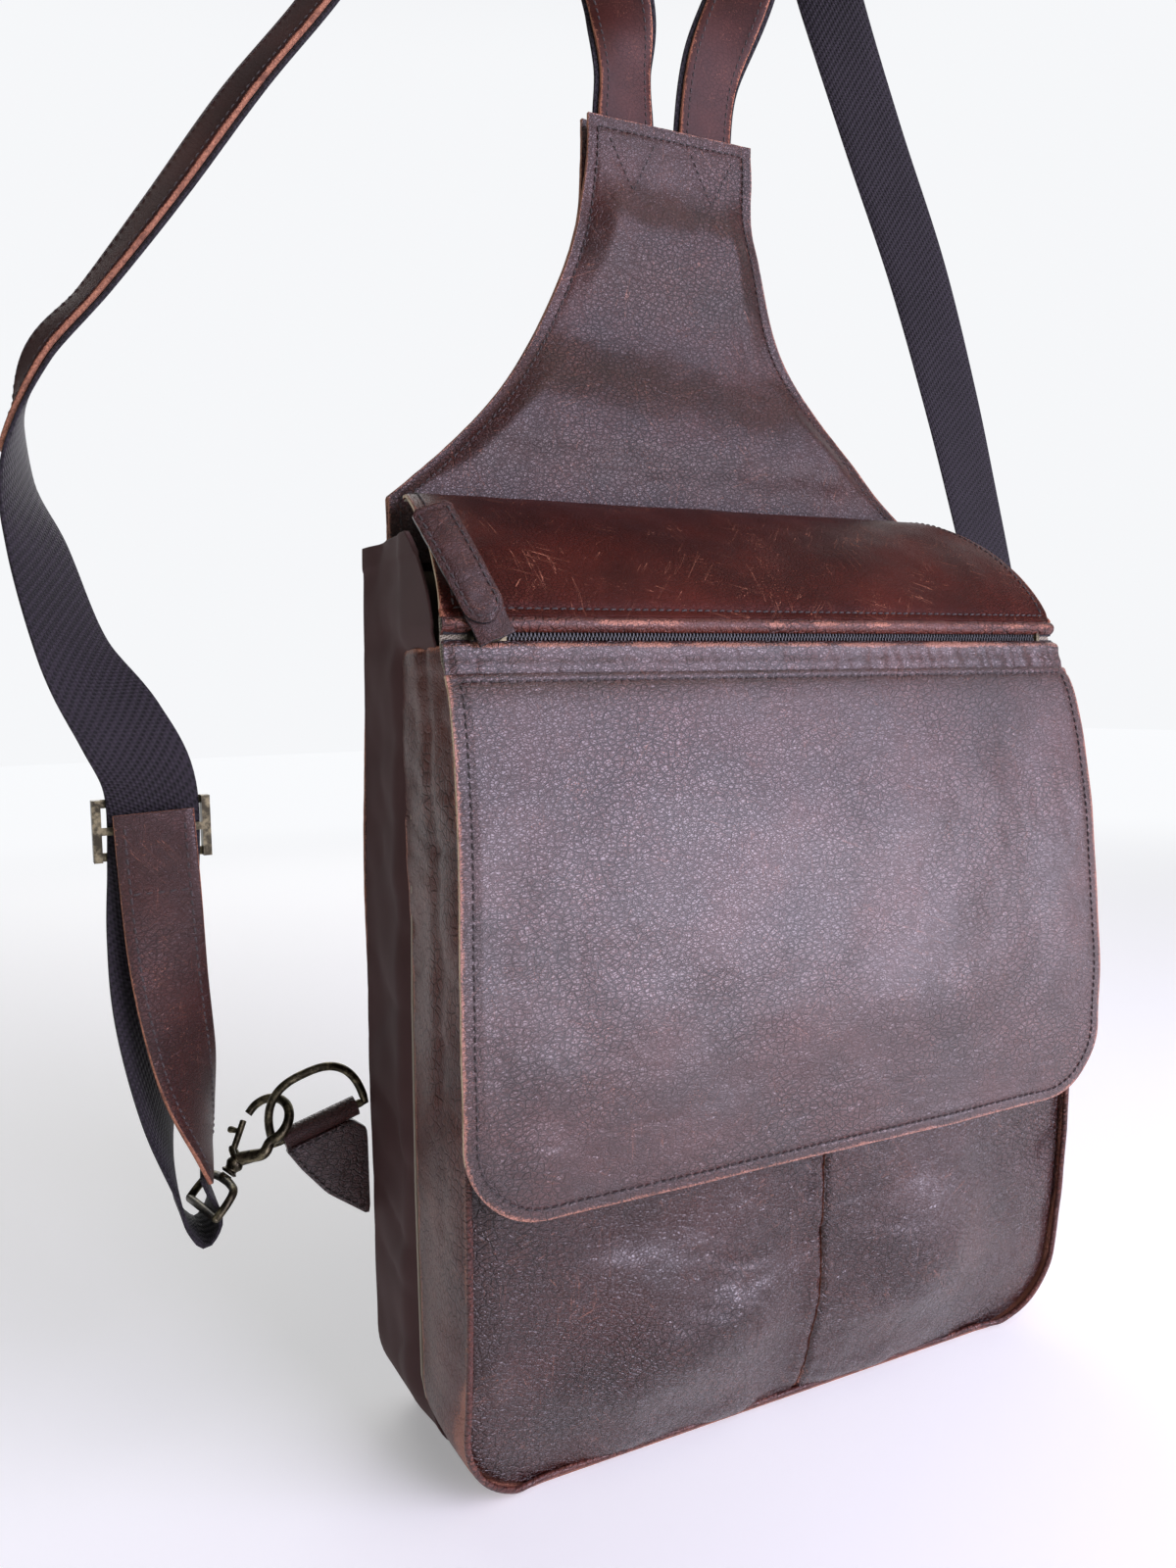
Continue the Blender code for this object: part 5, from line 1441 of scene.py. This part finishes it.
def add_ring(side):
    middle, along, upright = [np.array(v) for v in ring_frame(side)]
    bar = np.linspace(-RING_HALF_BAR, RING_HALF_BAR, 20)
    points = [middle + along * b for b in bar[:-1]]
    turn = np.linspace(0, np.pi, 48)[:-1]
    sideways = RING_HALF_BAR * np.sign(np.cos(turn)) * np.abs(np.cos(turn)) ** 0.75
    rise = RING_HEIGHT * np.sin(turn) ** 0.8
    points += [middle + along * a + upright * b for a, b in zip(sideways, rise)]
    piece = wire_piece("ring_" + side, [(np.array(points), RING_WIRE, True)], "brass", "ring_" + side)
    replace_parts(piece, "d_ring_" + side)


def add_hook(side):
    bar, held, up, across, normal = hook_axes(side)
    size = (held - bar).length / MM
    loop_way = Vector((0, 1, 0))
    loop_way = (loop_way - up * loop_way.dot(up)).normalized()
    bar, up, across, normal, loop_way = [np.array(v) for v in (bar, up, across, normal, loop_way)]
    corners = [(-1, 0.2), (-0.95, 0), (-0.5, 0), (0, 0), (0.5, 0), (0.95, 0), (1, 0.2), (1, 6),
               (0.88, 10.6), (0.5, 12.1),
               (0, 12.4), (-0.5, 12.1), (-0.88, 10.6), (-1, 6)]
    outline = np.array([(a * 18, b) for a, b in corners])
    closed = catmull(np.concatenate([outline, outline[:1]]), 84)[:-1] * MM
    loop = bar + loop_way * closed[:, :1] + up * closed[:, 1:]
    shank = bar + up * np.array([[11.8], [12.6], [13.6], [14.4]]) * MM
    piece = wire_piece("swivel_loop_" + side,
                       [(loop, 1.6 * MM, True), (shank, np.array([2, 2.6, 2.6, 2.0]) * MM, False)], "brass",
                       "bag")
    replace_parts(piece, "hook_loop_" + side)

    def in_plane(points):
        """Places from pairs of millimetres, across and up the hook from its bar."""
        points = np.asarray(points) * MM
        return bar + across * points[:, :1] + up * points[:, 1:]

    bend = (HOOK_MOUTH + HOOK_WIRE) / MM
    path = [(0, 14.8), (0, 15.6), (0, 16.6), (0, 18.4), (0, 19.4), (0.6, 21.4), (4.2, 24.6), (8, 28)]
    sizes = [2.6, 3.3, 2.5, 3.4, 3.3, 2.8, 2.5, 2.3]
    for k in range(10):
        angle = math.radians(-38 + 228 * k / 9)
        path.append((bend * math.cos(angle), size + bend * math.sin(angle)))
        sizes.append(HOOK_WIRE / MM - 0.5 * k / 9)
    steps = 110
    radii = catmull(np.array(sizes)[:, None], steps)[:, 0] * MM
    pin = in_plane([(-4.6, 23)])
    parts = [(in_plane(catmull(path, steps)), radii, False),
             (pin + normal * np.array([[-2.2], [0], [2.2]]) * MM, 0.75 * MM, False)]
    for cheek in (-1.9 * MM, 1.9 * MM):
        arm = in_plane([(1.2, 20.6), (-1.5, 21.2), (-4.0, 22.6), (-5.0, 23.3)]) + normal * cheek
        parts.append((arm, np.array([1.2, 1.1, 1.2, 0.9]) * MM, False))
    piece = wire_piece("snap_hook_" + side, parts, "brass", "hook_" + side)
    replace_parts(piece, "hook_body_" + side)
    tip_across, tip_up = path[-1]
    start = np.array([-4.6, 23.0])
    end = np.array([tip_across + 0.2, tip_up - 3.2])
    gate = start + (end - start) * np.linspace(0, 1, 12)[:, None]
    root = gate[7]
    stud = np.stack([root + np.array([-5, -1.5]) * share for share in (0, 0.4, 0.8, 0.95, 1.0)])
    parts = [(in_plane(gate), 1.3 * MM, False),
             (in_plane(stud), np.array([1.2, 1.1, 1.4, 1.2, 0.5]) * MM, False)]
    piece = wire_piece("gate_arm_" + side, parts, "brass", "gate_" + side)
    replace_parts(piece, "hook_gate_" + side)


def add_wing(side):
    """Stitched leather wing, folded round the D-ring's bar."""
    sign = -1 if side == "right" else 1
    middle, along = [np.array(v) for v in ring_frame(side)[:2]]
    outline = np.array(WING_OUTLINE) * MM
    centre = outline.mean(axis=0)
    dense = []
    for k, here in enumerate(outline):
        after = outline[(k + 1) % len(outline)]
        dense += [here + (after - here) * share for share in np.linspace(0, 1, 9)[:-1]]
    dense = np.array(dense)
    smoothed = (np.roll(dense, 1, axis=0) + dense * 2 + np.roll(dense, -1, axis=0)) / 4
    rings = np.array([1.0, 0.97, 0.9, 0.7, 0.45, 0.2, 0.04])
    verts, wear = [], []
    for y_base, facing in ((41.3 * MM, -1), (45.3 * MM, 1)):
        for ring in rings:
            points = centre + (smoothed - centre) * ring
            puff = 0.55 * MM * (1 - ring ** 4)
            bumpy = 0.25 * MM * waves(points[:, 0], points[:, 1], 9 * MM, 81) * (1 - ring)
            y = y_base + facing * (puff + bumpy) - facing * 0.5 * MM * (ring > 0.99)
            verts.append(np.stack([sign * points[:, 0], y, points[:, 1]], axis=1))
            wear.append(np.full(len(points), 0.3 * (ring > 0.99)))
    count = len(smoothed)
    front, back = np.concatenate(verts[: len(rings)]), np.concatenate(verts[len(rings):])
    faces = grid_faces(len(rings), count, closed=True)
    total = len(front)
    rim = np.arange(count)
    after = np.roll(rim, -1)
    sides = np.stack([rim, after, after + total, rim + total], axis=-1)
    caps = [list(range(total - count, total)), list(range(2 * total - count, 2 * total))]
    all_faces = faces.tolist() + (faces[:, ::-1] + total).tolist() + sides.tolist() + caps
    piece = new_piece("wing_leather_" + side, np.concatenate([front, back]), all_faces, ["leather"], "bag",
                      wear=np.concatenate(wear))
    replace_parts(piece, "wing_" + side)
    roll = middle + along * 15.5 * MM * np.linspace(-1, 1, 15)[:, None]
    turn = np.linspace(0, 2 * np.pi, 24, endpoint=False)
    rearward = np.array((0, 1, 0))
    other = np.cross(along, rearward)
    verts = []
    for radius in (4.1 * MM, 2.3 * MM):
        for point in roll:
            verts.extend(point + (rearward * np.cos(t) + other * np.sin(t)) * radius for t in turn)
    tube = grid_faces(len(roll), len(turn), closed=True)
    half = len(roll) * len(turn)
    ends = []
    for row in (0, len(roll) - 1):
        index = np.arange(len(turn)) + row * len(turn)
        ends.append(np.stack([index, np.roll(index, -1), np.roll(index, -1) + half, index + half], axis=-1))
    faces = np.concatenate([tube, tube[:, ::-1] + half] + ends)
    piece = new_piece("wing_fold_" + side, verts, faces, ["strap_leather"], "bag",
                      wear=np.full(len(verts), 0.2))
    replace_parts(piece, "wing_" + side)
    inner = centre + (smoothed - centre) * 0.86
    runs = []
    for y, facing in ((40.5 * MM, -1), (46.1 * MM, 1)):
        points = np.stack([sign * inner[:, 0], np.full(count, y), inner[:, 1]], axis=1)[:25]
        runs.append((points, np.tile([0.0, facing, 0.0], (len(points), 1))))
        low, high = [middle + along * end * MM + np.array([0, 0, -5.6 * MM]) for end in (-14, 14)]
        line = low + (high - low) * np.linspace(0, 1, 14)[:, None]
        line[:, 1] = y
        runs.append((line, np.tile([0.0, facing, 0.0], (len(line), 1))))
    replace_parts(stitches("wing_stitches_" + side, runs, "bag"), "wing_" + side)


def finish_cad_nodes():
    """Rounded edges and full materials for the CAD nodes that are in view, or are with the flap open."""
    kept = {
        "back_lining": "lining", "back_foam": "foam", "divider_panel": "lining", "base_board": "board",
        "zip_stop_left": "brass", "zip_stop_right": "brass", "zip_slider": "brass",
        "magnet_left": "steel", "magnet_right": "steel", "magnet_plate_left": "steel",
        "magnet_plate_right": "steel", "adjuster_left": "brass", "adjuster_right": "brass",
    }
    for name, finish in kept.items():
        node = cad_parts[name]
        node.data.materials.clear()
        node.data.materials.append(FINISH[finish])
        if name.startswith(("adjuster", "zip_s")):
            bevel = node.modifiers.new("rounded_edges", "BEVEL")
            bevel.width = 0.5 * MM
            bevel.segments = 3
            bevel.limit_method = "ANGLE"


add_camera()
add_floor()
add_world()
add_lights()
add_yoke_and_back()
add_rear_gusset()
add_front_body()
add_flap()
add_pull_tab(float(np.interp(FlapShape().at_height(ZIP_Z), FlapShape().far, FlapShape().y)))
add_straps()
for side_name, _ in SIDES:
    add_ring(side_name)
    add_hook(side_name)
    add_wing(side_name)
finish_cad_nodes()
